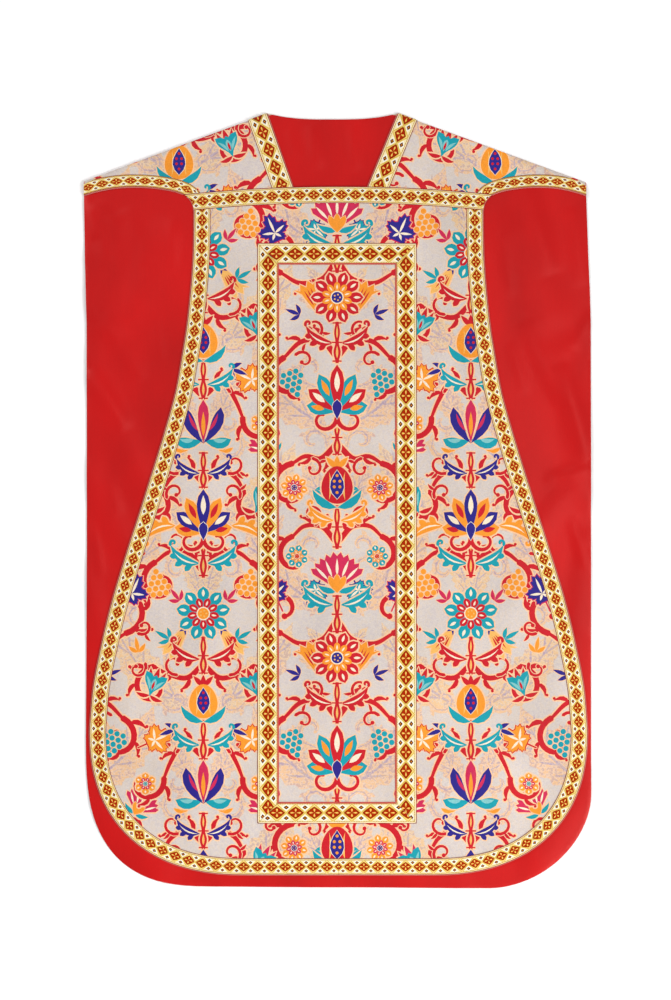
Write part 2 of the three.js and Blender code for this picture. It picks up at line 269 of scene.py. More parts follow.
def fiddle_curve(side):
    flank = [FIDDLE_CENTRE + side["sign"] * half + 1j * y for y, half in FIDDLE]
    turn = corner(side["sign"], flank[-1], *FIDDLE_CORNER)
    middle = FIDDLE_CENTRE + 1j * turn[-1].imag
    return resample(np.concatenate([smooth(flank, FIDDLE_STEP), turn[1:], [middle]]), FIDDLE_STEP)


def arch(x, down=0.0):
    """Points of the chest band's top edge, moved down."""
    return x + 1j * (BAND_TOP - BAND_SAG * ((x - FIDDLE_CENTRE) / BAND_HALF) ** 2 - down)


def neck_x(side, y):
    lean = (side["neck"].real - side["foot"]) / (NECK_Y - NECK_FOOT_Y)
    return side["foot"] + lean * (y - NECK_FOOT_Y)


def inside(points, outline):
    """Which flat points lie inside an outline."""
    found = np.zeros(len(points), bool)
    for a, b in zip(outline, np.roll(outline, -1)):
        if a.imag == b.imag:
            continue
        crosses = (points.imag < a.imag) != (points.imag < b.imag)
        at = a.real + (points.imag - a.imag) * (b.real - a.real) / (b.imag - a.imag)
        found ^= crosses & (points.real < at)
    return found


def ccw(outline):
    area = (np.conj(outline) * np.roll(outline, -1)).imag.sum()
    return outline if area > 0 else outline[::-1]


def grown(outline, distance):
    """An outline moved outwards."""
    outline = ccw(outline)
    run = np.roll(outline, -1) - np.roll(outline, 1)
    return outline - 1j * run / np.maximum(abs(run), 1e-6) * distance


# ---------------------------------------------------------------- figures of the brocade
# A figure is a list of (thread, outline, lift): the colour of its thread, its flat shape, and how far the woven
# figure stands up from the ground, as a share of FLOAT_LIFT.

FLOAT_LIFT = 0.16
RIM, FINE_RIM = 2.0, 0.9

# the colour of each thread
THREADS = {
    "ground": (216, 205, 198), "sand": (230, 205, 176), "lilac": (200, 182, 188), "blush": (232, 202, 176),
    "peach": (249, 203, 160), "cream": (250, 234, 208), "crimson": (204, 12, 32), "magenta": (208, 34, 84),
    "teal": (0, 158, 174), "aqua": (130, 200, 200), "orange": (248, 154, 40), "gold": (246, 186, 98),
    "violet": (36, 26, 134), "braid": (254, 237, 190), "white": (255, 250, 230), "olive": (200, 160, 56),
    "mauve": (142, 50, 44), "rose": (202, 78, 76), "russet": (170, 34, 0), "umber": (66, 18, 0),
    "maroon": (90, 12, 6), "faded": (214, 118, 108), "bright": (252, 206, 96), "straw": (252, 222, 128),
    "satin": (197, 15, 17),
}
DAMASK = ("sand", "lilac", "blush")


def polar(radius, degrees):
    return radius * np.exp(1j * np.radians(degrees))


def disc(centre, radius, count=8):
    return centre + radius * np.exp(2j * np.pi * np.arange(count) / count)


def taper(path, half):
    """A closed shape about a path, with its half width at each point."""
    side = normals(path) * half
    return np.concatenate([path[:1], (path + side)[1:-1], path[-1:], (path - side)[1:-1][::-1]])


def stroke(path, *widths):
    """A line of thread along a path, its width changing evenly from one given width to the next."""
    half = np.interp(np.linspace(0, 1, len(path)), np.linspace(0, 1, len(widths)), widths) / 2
    side = normals(path)
    ends = [path[0] + 1j * side[0] * half[0], path[-1] - 1j * side[-1] * half[-1]]
    return np.concatenate([ends[:1], path + side * half, ends[1:], (path - side * half)[::-1]])


def bow(base, tip, bend, count):
    """Shares of the way from base to tip, and points of a curve bent to the left by a share of its length."""
    u = np.linspace(0, 1, count)
    middle = (base + tip) / 2 + 1j * (tip - base) * bend
    return u, (1 - u) ** 2 * base + 2 * u * (1 - u) * middle + u**2 * tip


def leaf(base, tip, wide, bend=0.0, belly=0.45, count=6):
    """A pointed leaf, widest at its belly."""
    u, path = bow(base, tip, bend, count)
    return taper(path, wide / 2 * np.sin(np.pi * u ** (math.log(0.5) / math.log(belly))))


def petal(base, tip, wide, bend=0.0):
    """A leaf with a blunt, full tip."""
    u, path = bow(base, tip, bend, 7)
    return taper(path, wide / 2 * np.sin(np.pi * u**1.5) ** 0.7)


def spiral(centre, start, turns, end=0.3, count=24):
    """A curl from a start point in towards a centre; positive turns run anticlockwise."""
    u = np.linspace(0, 1, count)
    return centre + (start - centre) * np.exp(u * (math.log(end) + 2j * np.pi * turns))


def rimmed(parts, thread="peach", rim=RIM):
    """A figure with a line of another thread all round it."""
    return [(thread, grown(outline, rim), 0) for _, outline, _ in parts] + parts


class Flower:
    """Leaves and petals in a flower's own measure: its base is 0 and its tip 1."""

    def __init__(self, base, aim, size):
        self.base, self.size, self.run = base, size, polar(size, aim)

    def one(self, thread, shape, root, tip, wide, bend=0.0, lift=1):
        outline = shape(self.base + self.run * root, self.base + self.run * tip, self.size * wide, bend)
        return [(thread, outline, lift)]

    def pair(self, thread, shape, root, tip, wide, bend=0.0, lift=1):
        """The same shape on both sides of the middle, the left one first."""
        other = self.one(thread, shape, np.conj(root), np.conj(tip), wide, -bend, lift)
        return self.one(thread, shape, root, tip, wide, bend, lift) + other


def hook(base, tip, wide, bend):
    """A curved spur that ends in a small curl."""
    run = tip - base
    curl = disc(tip + run * (0.16 * np.exp(1j * np.sign(bend) * 1.5) - 0.04), abs(run) * 0.1, 7)
    return [("crimson", leaf(base, tip, wide, bend, 0.4), 1), ("crimson", curl, 1)]


def vine(path, width, hand, spurs, knob=0.0):
    """A stem that thins along its path, with spurs (share of the way, length) to one hand, and a knob at its end."""
    parts = [("crimson", stroke(path, width * 1.15, width, width * 0.6), 1)]
    ahead = -1j * normals(path)
    for share, size in spurs:
        i = int(share * (len(path) - 1))
        tip = path[i] + ahead[i] * np.exp(1j * hand * 0.7) * size * 1.25
        parts += hook(path[i] - ahead[i] * width * 0.5, tip, size * 0.42, hand * 0.4)
    if knob:
        parts.append(("crimson", disc(path[-1], knob), 1))
    return parts


def baluster(foot, length):
    """An upright stem turned like a baluster, with three collars."""
    share = np.linspace(0, 1, 23)
    lower, upper = (np.sin(np.pi * np.clip(share * 1.9 - start, 0, 1)) ** 2 for start in (0, 0.9))
    edge = foot + 1j * length * share + 2.2 + 2.9 * lower + 1.9 * upper
    stem = np.concatenate([edge, -np.conj(edge - foot.real)[::-1] + foot.real])
    parts = [("crimson", stem, 1)]
    for at, wide in ((0.5, 7.5), (0.97, 6.4), (0.05, 6.4)):
        corners = np.array([wide - 1j, wide + 1j, -wide + 1j, -wide - 1j])
        parts.append(("crimson", foot + 1j * length * at + corners, 1))
    lit = [("gold", leaf(foot + 1j * length * low, foot + 1j * length * high, wide), 1)
           for low, high, wide in ((0.12, 0.42, 3.4), (0.6, 0.9, 2.6))]
    return rimmed(parts) + lit


def berries(centre, aim, size, thread):
    """A bunch of round berries, wide at its foot and narrow at its tip."""
    parts = []
    for row, count in enumerate((3, 4, 3, 2, 1)):
        for k in range(count):
            at = (row - 1.6) * 0.86 + 1j * (k - (count - 1) / 2)
            parts.append((thread, disc(centre + at * polar(size * 0.24, aim), size * 0.105, 9), 1))
    return rimmed(parts, rim=FINE_RIM)


def rosette(centre, radius, count, outer, inner, core, turn=0.0):
    """A round flower of two rings of petals round a seeded middle."""
    petals, inside_petals = [], []
    fan = 2 * math.pi * 0.62 / count
    for k in range(count):
        f = Flower(centre, turn + 360 * k / count, radius)
        between = Flower(centre, turn + 360 * (k + 0.5) / count, radius)
        petals += f.one(outer, petal, 0.25, 1, fan * 1.02)
        inside_petals += f.one("cream", leaf, 0.62, 0.9, fan * 0.26, lift=0.5)
        inside_petals += between.one(inner, petal, 0.12, 0.6, fan * 0.62)
        inside_petals += between.one("cream", leaf, 0.3, 0.5, fan * 0.16, lift=0.5)
    middle = [("cream", disc(centre, radius * 0.25, 14), 0), (core, disc(centre, radius * 0.21, 14), 1)]
    seeds = [("gold", disc(centre + 0.11 * radius * polar(1, 72 * k), radius * 0.035, 6), 1) for k in range(5)]
    return rimmed(petals) + inside_petals + middle + seeds


def tulip(base, aim, size, cup, lip):
    """A cup of curved petals with flame tips, on two small leaves."""
    f = Flower(base, aim, size)
    parts = f.pair("crimson", leaf, 0, polar(0.5, 96), 0.15, 0.25)
    parts += f.one(lip, leaf, 0.3, 1.02, 0.2)
    parts += f.pair(lip, leaf, 0.3, polar(0.98, 17), 0.17, 0.1)
    parts += f.pair(cup, petal, 0, polar(0.86, 27), 0.34, -0.2)
    parts += f.one(cup, petal, -0.04, 0.74, 0.36)
    marks = f.one("aqua", petal, 0.16, 0.6, 0.18, lift=0.5)
    marks += f.one("crimson", leaf, 0.2, 0.52, 0.09)
    marks += f.pair("aqua", leaf, polar(0.2, 20), polar(0.7, 29), 0.1, -0.15, 0.5)
    return rimmed(parts) + marks


def carnation(base, aim, size, flower, cup):
    """A fan of toothed petals on a striped cup."""
    f = Flower(base, aim, size)
    spread = np.linspace(-58, 58, 21)
    reach = np.where(np.arange(21) % 2, 0.98, 0.86) * (1 - abs(spread) / 420)
    body = base + f.run * np.array([polar(0.2, -60), *polar(reach, spread), polar(0.2, 60)])
    rays = []
    for degrees in (-44, -22, 0, 22, 44):
        rays += f.one("cream", leaf, polar(0.34, degrees), polar(0.8, degrees), 0.075, lift=0.5)
    bells = f.pair("orange", petal, -0.1, polar(0.4, -32), 0.17) + f.one("orange", petal, -0.1, 0.4, 0.17)
    sepals = f.pair(cup, leaf, -0.05, polar(0.52, 78), 0.16, 0.22)
    return rimmed(sepals + [(flower, body, 1)]) + rays + rimmed(bells, rim=0.8)


def palmette(base, aim, size, threads, hearts):
    """A fan of rounded lobes, each with a heart of another thread, rising from two curls."""
    f = Flower(base, aim, size)
    lobes, cores, curls = [], [], []
    for k, degrees in enumerate((78, -78, 52, -52, 26, -26, 0)):
        tip = polar(1 - abs(degrees) / 230, degrees)
        lobes += f.one(threads[k // 2 % 2], petal, 0, tip, 0.3)
        cores += f.one(hearts[k // 2 % 2], leaf, 0.42 * tip, 0.86 * tip, 0.12)
    for side in (1, -1):
        curl = spiral(base + f.run * polar(0.34, 118 * side), base - 0.12 * f.run, -0.8 * side, 0.3, 18)
        curls.append(("crimson", stroke(curl, size * 0.1, size * 0.07, size * 0.05), 1))
    foot = f.one("violet", petal, -0.16, 0.26, 0.2)
    return rimmed(curls + lobes) + cores + rimmed(foot, "cream", 0.8)


def vine_leaf(base, aim, size, thread, edge):
    """A broad leaf of five toothed lobes, veined down each lobe."""
    degrees = np.linspace(-152, 152, 41)
    lobe = 0.56 + 0.44 * abs(np.cos(np.radians(degrees) * 2.5)) ** 0.8
    reach = lobe * (1 - abs(degrees) / 330) * np.where(np.arange(41) % 2, 1.0, 0.84)
    centre = base + polar(size * 0.36, aim)
    blade = centre + polar(size * 0.62, aim) * polar(reach, degrees)
    f = Flower(centre, aim, size)
    veins = f.one("cream", leaf, 0, 0.5, 0.075, lift=0.5)
    for aside, long in ((72, 0.37), (140, 0.22)):
        veins += f.pair("cream", leaf, 0, polar(long, aside), 0.075, lift=0.5)
    stalk = stroke(resample(np.array([base - polar(size * 0.2, aim), centre]), 4), 2.2, 2.2)
    back = [(edge, stalk, 1), (edge, grown(blade, 1.5), 1)]
    return rimmed(back, rim=FINE_RIM) + [(thread, blade, 1)] + veins


def acanthus(base, tip, side, thread):
    """A curling leaf with lobes along its outer side."""
    run = tip - base
    parts = [(thread, leaf(base, tip, abs(run) * 0.26, side * 0.34), 1)]
    low, high = base + (0.08 + 0.05j * side) * run, base + (0.8 + 0.12j * side) * run
    marks = [("cream", leaf(low, high, abs(run) * 0.05, side * 0.24), 0.5)]
    for share, reach, degrees in ((0.16, 0.34, 74), (0.36, 0.36, 52), (0.58, 0.3, 24)):
        root = base + share * run + 1j * side * run * 0.34 * 2 * share * (1 - share)
        end = root + run * reach * np.exp(1j * side * math.radians(degrees))
        parts.append((thread, petal(root, end, abs(run) * 0.17, -side * 0.15), 1))
    curl = spiral(tip - 0.1 * run * np.exp(1.2j * side), tip, -0.75 * side, 0.3, 14)
    parts.append((thread, stroke(curl, abs(run) * 0.09, abs(run) * 0.06), 1))
    return rimmed(parts) + marks


def pomegranate(base, aim, size, body, seed):
    """A ripe fruit split down its middle, with a crown and two sepals."""
    f = Flower(base, aim, size)
    u = np.linspace(0, 2 * np.pi, 26, endpoint=False)
    fruit = base + f.run * (0.42 - 0.4 * np.cos(u) + 0.33j * np.sin(u) * (1 + 0.16 * np.cos(u)))
    split = leaf(base + 0.12 * f.run, base + 0.74 * f.run, size * 0.3)
    spots = (0.26, 0.38 + 0.06j, 0.38 - 0.06j, 0.5 + 0.06j, 0.5 - 0.06j, 0.62)
    grains = [(seed, disc(base + f.run * spot, size * 0.034, 7), 1) for spot in spots]
    parts = f.pair("teal", leaf, -0.06, polar(0.62, 58), 0.18, 0.3)
    parts += f.pair(seed, leaf, 0.76, polar(1.04, -13), 0.12) + f.one(seed, leaf, 0.76, 1.04, 0.12)
    ribs = f.pair("gold", leaf, 0.1 + 0.17j, 0.7 + 0.17j, 0.05, -0.12, 0.5)
    heart = [("cream", grown(split, 0.8), 0), ("violet", split, 0)]
    return rimmed(parts + [(body, fruit, 1)]) + ribs + heart + grains


def iris(base, aim, size):
    """Three upright petals over two that fall outwards."""
    f = Flower(base, aim, size)
    parts = f.pair("teal", petal, 0.1, polar(0.66, 82), 0.26, 0.3)
    parts += f.pair("violet", petal, 0, polar(0.94, 26), 0.27, 0.18)
    parts += f.one("magenta", petal, 0, 1.02, 0.26)
    marks = f.pair("aqua", leaf, polar(0.24, 66), polar(0.56, 80), 0.1, 0.26, 0.5)
    marks += f.pair("magenta", leaf, polar(0.3, 22), polar(0.78, 26), 0.08, 0.12, 0.5)
    marks += f.one("orange", leaf, 0.16, 0.74, 0.1)
    return rimmed(parts) + marks


def bellflower(base, aim, size, thread):
    """A hanging bell with a toothed mouth."""
    f = Flower(base, aim, size)
    left = [0, 0.12 + 0.13j, 0.45 + 0.2j, 0.72 + 0.24j, 0.98 + 0.42j]
    mouth = [0.84 + 0.24j, 1.04 + 0.14j, 0.86, 1.04 - 0.14j, 0.84 - 0.24j]
    bell = base + f.run * np.array(left + mouth + [z.conjugate() for z in left[:0:-1]])
    stripes = []
    for side in (1, 0, -1):
        stripes += f.one("crimson", leaf, 0.2 + 0.06j * side, 0.8 + 0.12j * side, 0.06, lift=0.5)
    return rimmed(f.one("violet", petal, -0.12, 0.2, 0.24) + [(thread, bell, 1)]) + stripes


def sprig(base, aim, size, thread):
    """A shoot of three small leaves."""
    f = Flower(base, aim, size)
    return rimmed(f.one(thread, leaf, 0, 1, 0.26) + f.pair(thread, leaf, 0, polar(0.72, 48), 0.26, 0.15), rim=1.1)


def shadow_leaf(base, tip, wide, bend, thread):
    """A large lobed leaf in pale speckled threads near the ground's own colour."""
    u, path = bow(base, tip, bend, 18)
    half = wide / 2 * np.sin(np.pi * u**0.85) * (0.86 + 0.24 * (np.arange(18) % 2))
    parts = [(thread, taper(path, half), 0.2), ("lilac", stroke(path[1:-1:2], wide * 0.07, wide * 0.04), 0.3)]
    side = normals(path)
    for i in (3, 6, 9, 12):
        for hand in (1, -1):
            vein = leaf(path[i], path[i + 3] + hand * side[i] * half[i] * 0.8, wide * 0.06, 0.0, 0.5, 4)
            parts.append(("lilac", vein, 0.3))
    return parts


def shadow_scroll(centre, start, turns):
    """A pale plume that curls in, with three leaves and a line of lilac down its middle."""
    curl = spiral(centre, start, turns, 0.24, 16)
    size = abs(start - centre)
    parts = [("blush", stroke(curl, size * 0.3, size * 0.44, size * 0.16), 0.2)]
    hand = -1 if turns > 0 else 1
    for i in (1, 4, 7):
        ahead = (curl[i + 1] - curl[i]) / abs(curl[i + 1] - curl[i])
        tip = curl[i] + ahead * np.exp(1j * hand * 0.8) * size * 0.62
        parts.append(("blush", leaf(curl[i], tip, size * 0.3, hand * 0.2, 0.5, 5), 0.2))
    return parts + [("lilac", stroke(curl[::2], size * 0.05, size * 0.11, size * 0.04), 0.3)]


def tendril(start, centre, turns):
    """A thin curl with a bead at its end."""
    curl = spiral(centre, start, turns, 0.3, 13)
    run = curl[1] - curl[0]
    hand = -1 if turns > 0 else 1
    spur = leaf(curl[2], curl[2] + run / abs(run) * np.exp(0.7j * hand) * 13, 4.4, hand * 0.2, 0.4, 5)
    return [("crimson", part, 0.8) for part in (stroke(curl, 4.6, 3.4, 2.2), disc(curl[-1], 3.0, 7), spur)]


# One repeat of the brocade is drawn from its middle line, x = 0, to the next line of symmetry, x = half its width.
UNIT_WIDE = 374
UNIT_HIGH = 504
HALF_UNIT = UNIT_WIDE / 2

# base, tip, width, bend, thread
SHADOW_LEAVES = [
    (14 + 8j, 118 + 122j, 58, -0.22, "blush"), (176 + 116j, 62 + 238j, 56, 0.2, "sand"),
    (16 + 258j, 128 + 374j, 58, -0.2, "blush"), (174 + 368j, 58 + 490j, 56, 0.22, "sand"),
    (180 + 8j, 142 + 92j, 34, 0.16, "blush"), (8 + 150j, 44 + 232j, 32, 0.2, "sand"),
    (182 + 262j, 150 + 350j, 34, -0.2, "sand"), (6 + 396j, 44 + 476j, 32, -0.18, "blush"),
]
# centre, reach, turns
SCROLLS = [
    (36 + 88j, 26, 0.9), (150 + 14j, 24, -0.9), (34 + 200j, 22, -0.9), (96 + 176j, 20, 0.9),
    (150 + 130j, 22, 0.9), (152 + 190j, 24, -0.8), (40 + 268j, 24, 0.9), (96 + 250j, 22, -0.9),
    (150 + 312j, 24, 0.9), (92 + 310j, 20, -0.9), (34 + 346j, 22, 0.9), (96 + 386j, 20, 0.9),
    (150 + 404j, 24, -0.9), (88 + 446j, 24, -0.9), (152 + 482j, 24, 0.9), (34 + 492j, 22, -0.9),
]
# heights of the stems' feet on each line of symmetry, and the stems' lengths
STEM_FEET = {0: (96, 222, 340, 470), HALF_UNIT: (44, 164, 300, 424)}
STEM_LENGTHS = (58, 54, 62, 52)
THICK_VINE, THIN_VINE = (7.5, 4.4), (7, 4.2)
# width and knob, the stem's points, its spurs' hand and the spurs; then the curl's centre and turns, and its spurs
VINES = [
    (THICK_VINE, (3 + 108j, 22 + 128j, 50 + 126j, 74 + 104j), 1, ((0.35, 17), (0.7, 15)),
     66 + 74j, -0.95, ((0.1, 18), (0.3, 16), (0.5, 14))),
    (THIN_VINE, (184 + 52j, 160 + 70j, 142 + 44j, 132 + 20j), -1, ((0.3, 16), (0.62, 15)),
     106 + 12j, -0.9, ((0.12, 16), (0.34, 14))),
    (THICK_VINE, (3 + 236j, 20 + 214j, 52 + 208j, 78 + 222j), -1, ((0.3, 17), (0.66, 15)),
     76 + 256j, 0.95, ((0.12, 18), (0.3, 16), (0.52, 13))),
    (THIN_VINE, (184 + 176j, 164 + 160j, 136 + 166j, 118 + 176j), 1, ((0.35, 16), (0.72, 14)),
     116 + 146j, 0.92, ((0.1, 17), (0.3, 15))),
    (THICK_VINE, (184 + 312j, 166 + 334j, 140 + 336j, 120 + 322j), -1, ((0.3, 17), (0.7, 15)),
     128 + 292j, 0.95, ((0.12, 17), (0.32, 15))),
    (THIN_VINE, (3 + 352j, 22 + 372j, 46 + 372j, 62 + 358j), 1, ((0.3, 16), (0.66, 14)),
     58 + 330j, -0.92, ((0.1, 16), (0.3, 14))),
    (THICK_VINE, (3 + 484j, 24 + 466j, 44 + 470j, 62 + 460j), -1, ((0.32, 17), (0.7, 14)),
     62 + 426j, -0.95, ((0.1, 18), (0.3, 16), (0.5, 13))),
    (THIN_VINE, (184 + 436j, 164 + 452j, 142 + 440j, 130 + 420j), -1, ((0.3, 16), (0.7, 14)),
     118 + 396j, -0.6, ((0.14, 16), (0.4, 14))),
]
# start, centre, turns
TENDRILS = [
    (30 + 130j, 33 + 146j, -0.8), (150 + 56j, 142 + 70j, 0.8), (34 + 212j, 34 + 196j, 0.85),
    (150 + 164j, 146 + 180j, -0.8), (152 + 336j, 148 + 352j, 0.8), (30 + 374j, 36 + 390j, -0.8),
    (34 + 467j, 34 + 452j, 0.8), (152 + 446j, 144 + 460j, -0.8), (58 + 108j, 46 + 100j, 0.8),
    (96 + 222j, 104 + 232j, 0.8), (106 + 180j, 94 + 172j, -0.8), (104 + 334j, 96 + 346j, -0.8),
    (84 + 466j, 92 + 456j, -0.8), (136 + 412j, 148 + 420j, -0.8),
]
# flowers, fruit and leaves in the curls and between them
SIDE_FLOWERS = [
    (berries, 62 + 70j, 250, 38, "teal"), (rosette, 106 + 12j, 15, 6, "orange", "magenta", "teal", 30),
    (vine_leaf, 80 + 262j, 66, 48, "violet", "magenta"), (tulip, 112 + 136j, 70, 40, "teal", "crimson"),
    (berries, 124 + 290j, 100, 38, "orange"), (rosette, 56 + 330j, 16, 7, "teal", "orange", "crimson"),
    (rosette, 60 + 426j, 19, 8, "orange", "magenta", "violet", 12), (tulip, 114 + 392j, 118, 42, "teal", "magenta"),
    (vine_leaf, 104 + 66j, 24, 46, "orange", "crimson"), (bellflower, 26 + 170j, 62, 42, "orange"),
    (sprig, 52 + 164j, 20, 22, "violet"), (bellflower, 160 + 226j, 236, 42, "gold"),
    (sprig, 140 + 214j, 150, 24, "teal"), (vine_leaf, 24 + 296j, -66, 40, "teal", "violet"),
    (sprig, 96 + 196j, 100, 22, "orange"), (carnation, 92 + 476j, 58, 38, "magenta", "teal"),
    (sprig, 148 + 88j, 200, 24, "violet"), (sprig, 30 + 424j, 230, 24, "teal"),
    (sprig, 154 + 268j, 128, 22, "magenta"), (acanthus, 150 + 372j, 104 + 352j, -1, "orange"),
    (sprig, 24 + 60j, 200, 20, "orange"), (sprig, 160 + 476j, 110, 22, "orange"),
]
# pairs of curling leaves at the stems on each line of symmetry: foot, reach, thread
STEM_LEAVES = {
    0: ((124, 40, "crimson"), (262, 44, "teal"), (380, 36, "orange")),
    HALF_UNIT: ((66, 38, "teal"), (186, 40, "crimson"), (320, 42, "teal"), (446, 34, "violet")),
}
# great flowers on the lines of symmetry
MIDDLE_FLOWERS = [
    (palmette, 28j, 90, 66, ("teal", "crimson"), ("orange", "cream")),
    (rosette, 188j, 37, 10, "crimson", "orange", "violet"),
    (carnation, 284j, 90, 54, "magenta", "teal"),
    (pomegranate, 402j, 90, 66, "crimson", "orange"),
    (iris, HALF_UNIT - 16j, 90, 60),
    (pomegranate, HALF_UNIT + 102j, 90, 60, "orange", "crimson"),
    (rosette, HALF_UNIT + 250j, 38, 9, "teal", "crimson", "orange", 10),
    (palmette, HALF_UNIT + 362j, 90, 62, ("orange", "violet"), ("crimson", "cream")),
]


def brocade_unit():
    """One repeat of the brocade: its right half, the same mirrored, and what stands on the lines of symmetry."""
    side, middle, vines = [], [], []
    for about in SHADOW_LEAVES:
        side += shadow_leaf(*about)
    for centre, reach, turns in SCROLLS:
        side += shadow_scroll(centre, centre + polar(reach, centre.imag * 7), turns)
    for x, feet in STEM_FEET.items():
        for foot, length in zip(feet, STEM_LENGTHS):
            middle += baluster(x + foot * 1j, length)
    for (width, knob), stem, hand, spurs, centre, turns, curl_spurs in VINES:
        vines += vine(smooth(stem, 5), width, hand, spurs)
        vines += vine(spiral(centre, stem[-1], turns), width, 1 if turns < 0 else -1, curl_spurs, knob)
    side += rimmed(vines)
    for start, centre, turns in TENDRILS:
        side += rimmed(tendril(start, centre, turns), rim=1.0)
    for draw, *about in SIDE_FLOWERS:
        side += draw(*about)
    for x, leaves in STEM_LEAVES.items():
        inward = -1 if x else 1
        for foot, reach, thread in leaves:
            base = x + inward * 4 + foot * 1j
            side += acanthus(base, base + inward * reach + 0.62j * reach, -inward, thread)
    for draw, *about in MIDDLE_FLOWERS:
        middle += draw(*about)
    return side + [(thread, -np.conj(outline), lift) for thread, outline, lift in side] + middle


def repeat(unit, outline, shift, covered=0.0, hole=None):
    """The unit's figures over an outline, leaving out those wholly outside it or under the braids at its edge."""
    rows = []
    low = outline.real.min() + 1j * outline.imag.min()
    high = outline.real.max() + 1j * outline.imag.max()
    first, last = low - shift, high - shift
    for j in range(math.floor(first.imag / UNIT_HIGH) - 1, math.ceil(last.imag / UNIT_HIGH) + 1):
        for thread, shape, lift in unit:
            for i in range(math.floor(first.real / UNIT_WIDE) - 1, math.ceil(last.real / UNIT_WIDE) + 2):
                at = shape + shift + i * UNIT_WIDE + 1j * j * UNIT_HIGH
                beside_it = at.real.max() < low.real or at.real.min() > high.real
                if not (beside_it or at.imag.max() < low.imag or at.imag.min() > high.imag):
                    rows.append((thread, at, lift))
    everything = np.concatenate([shape for _, shape, _ in rows])
    seen = inside(everything, grown(outline, -covered))
    if hole is not None:
        seen &= ~inside(everything, hole)
    hits = np.split(seen, np.cumsum([len(shape) for _, shape, _ in rows])[:-1])
    return [row for row, hit in zip(rows, hits) if hit.any()]


# ---------------------------------------------------------------- cloth pieces

COLOUR_DEPTH = 0.84
EDGE_ROW, GRID_MARGIN, CORNER_MARGIN = 1.2, 2.4, 0.5
ROW_SHARE = 0.87
EDGE_ROUNDING = 0.3
UNDERSIDE_COARSER, UNDERSIDE_STEP, UNDERSIDE_MARGIN = 1.6, 7, 3
SAME_POINT = 1e-4
SHARP_ANGLE = math.radians(42)


def linear(rgb):
    """A thread's colour as the shaders count it, a little deeper, since the lamps are bright."""
    c = np.array(rgb) / 255
    return COLOUR_DEPTH * np.where(c <= 0.04045, c / 12.92, ((c + 0.055) / 1.055) ** 2.4)


def grid_points(outline, step, margin):
    """Points of an even, staggered grid inside an outline, clear of its edge also at sharp corners."""
    xs = np.arange(outline.real.min(), outline.real.max(), step)
    ys = np.arange(outline.imag.min(), outline.imag.max(), step * ROW_SHARE)
    points = (xs[None, :] + (np.arange(len(ys))[:, None] % 2) * step / 2 + 1j * ys[:, None]).ravel()
    return points[inside(points, grown(outline, -margin)) & inside(points, grown(outline, -CORNER_MARGIN))]


def triangulate(outline, shapes, loose, hole=None):
    """Triangles over an outline that follow every shape's edge, each with the number of its top shape."""
    rings = [outline] + [ccw(shape) for shape in shapes] + ([] if hole is None else [ccw(hole)])
    points = np.concatenate([*rings, loose])
    ends = np.cumsum([0] + [len(ring) for ring in rings]).tolist()
    faces = [list(range(a, b)) for a, b in zip(ends, ends[1:])]
    out = delaunay_2d_cdt([Vector((z.real, z.imag)) for z in points], [], faces, 1, SAME_POINT, True)
    flat = np.array([v[0] + 1j * v[1] for v in out[0]])
    gone = -1 if hole is None else len(rings) - 1
    kept = [(face, max(ids)) for face, ids in zip(out[2], out[5]) if 0 in ids and max(ids) != gone]
    corners = np.array([face for face, _ in kept])
    a, b, c = (flat[corners[:, k]] for k in range(3))
    clockwise = ((b - a) * np.conj(c - a)).imag > 0
    corners[clockwise] = corners[clockwise][:, ::-1]
    used, corners = np.unique(corners, return_inverse=True)
    return flat[used], corners.reshape(-1, 3), np.array([top for _, top in kept])


def rims_of(corners):
    """Rings of point numbers round each edge of a sheet of triangles, the longest first."""
    pairs = np.concatenate([corners[:, [0, 1]], corners[:, [1, 2]], corners[:, [2, 0]]]).tolist()
    seen = {(a, b) for a, b in pairs}
    after = {a: b for a, b in seen if (b, a) not in seen}
    rings = []
    while after:
        start = next(iter(after))
        ring = [start]
        while after[ring[-1]] != start:
            ring.append(after.pop(ring[-1]))
        after.pop(ring[-1])
        rings.append(np.array(ring))
    return sorted(rings, key=len, reverse=True)


def figure_share(thread, plain):
    """How far a thread is a figure's: ground 0, speckled damask 0.5, figure 1."""
    return 0.0 if thread in (plain, "ground") else 0.5 if thread in DAMASK else 1.0


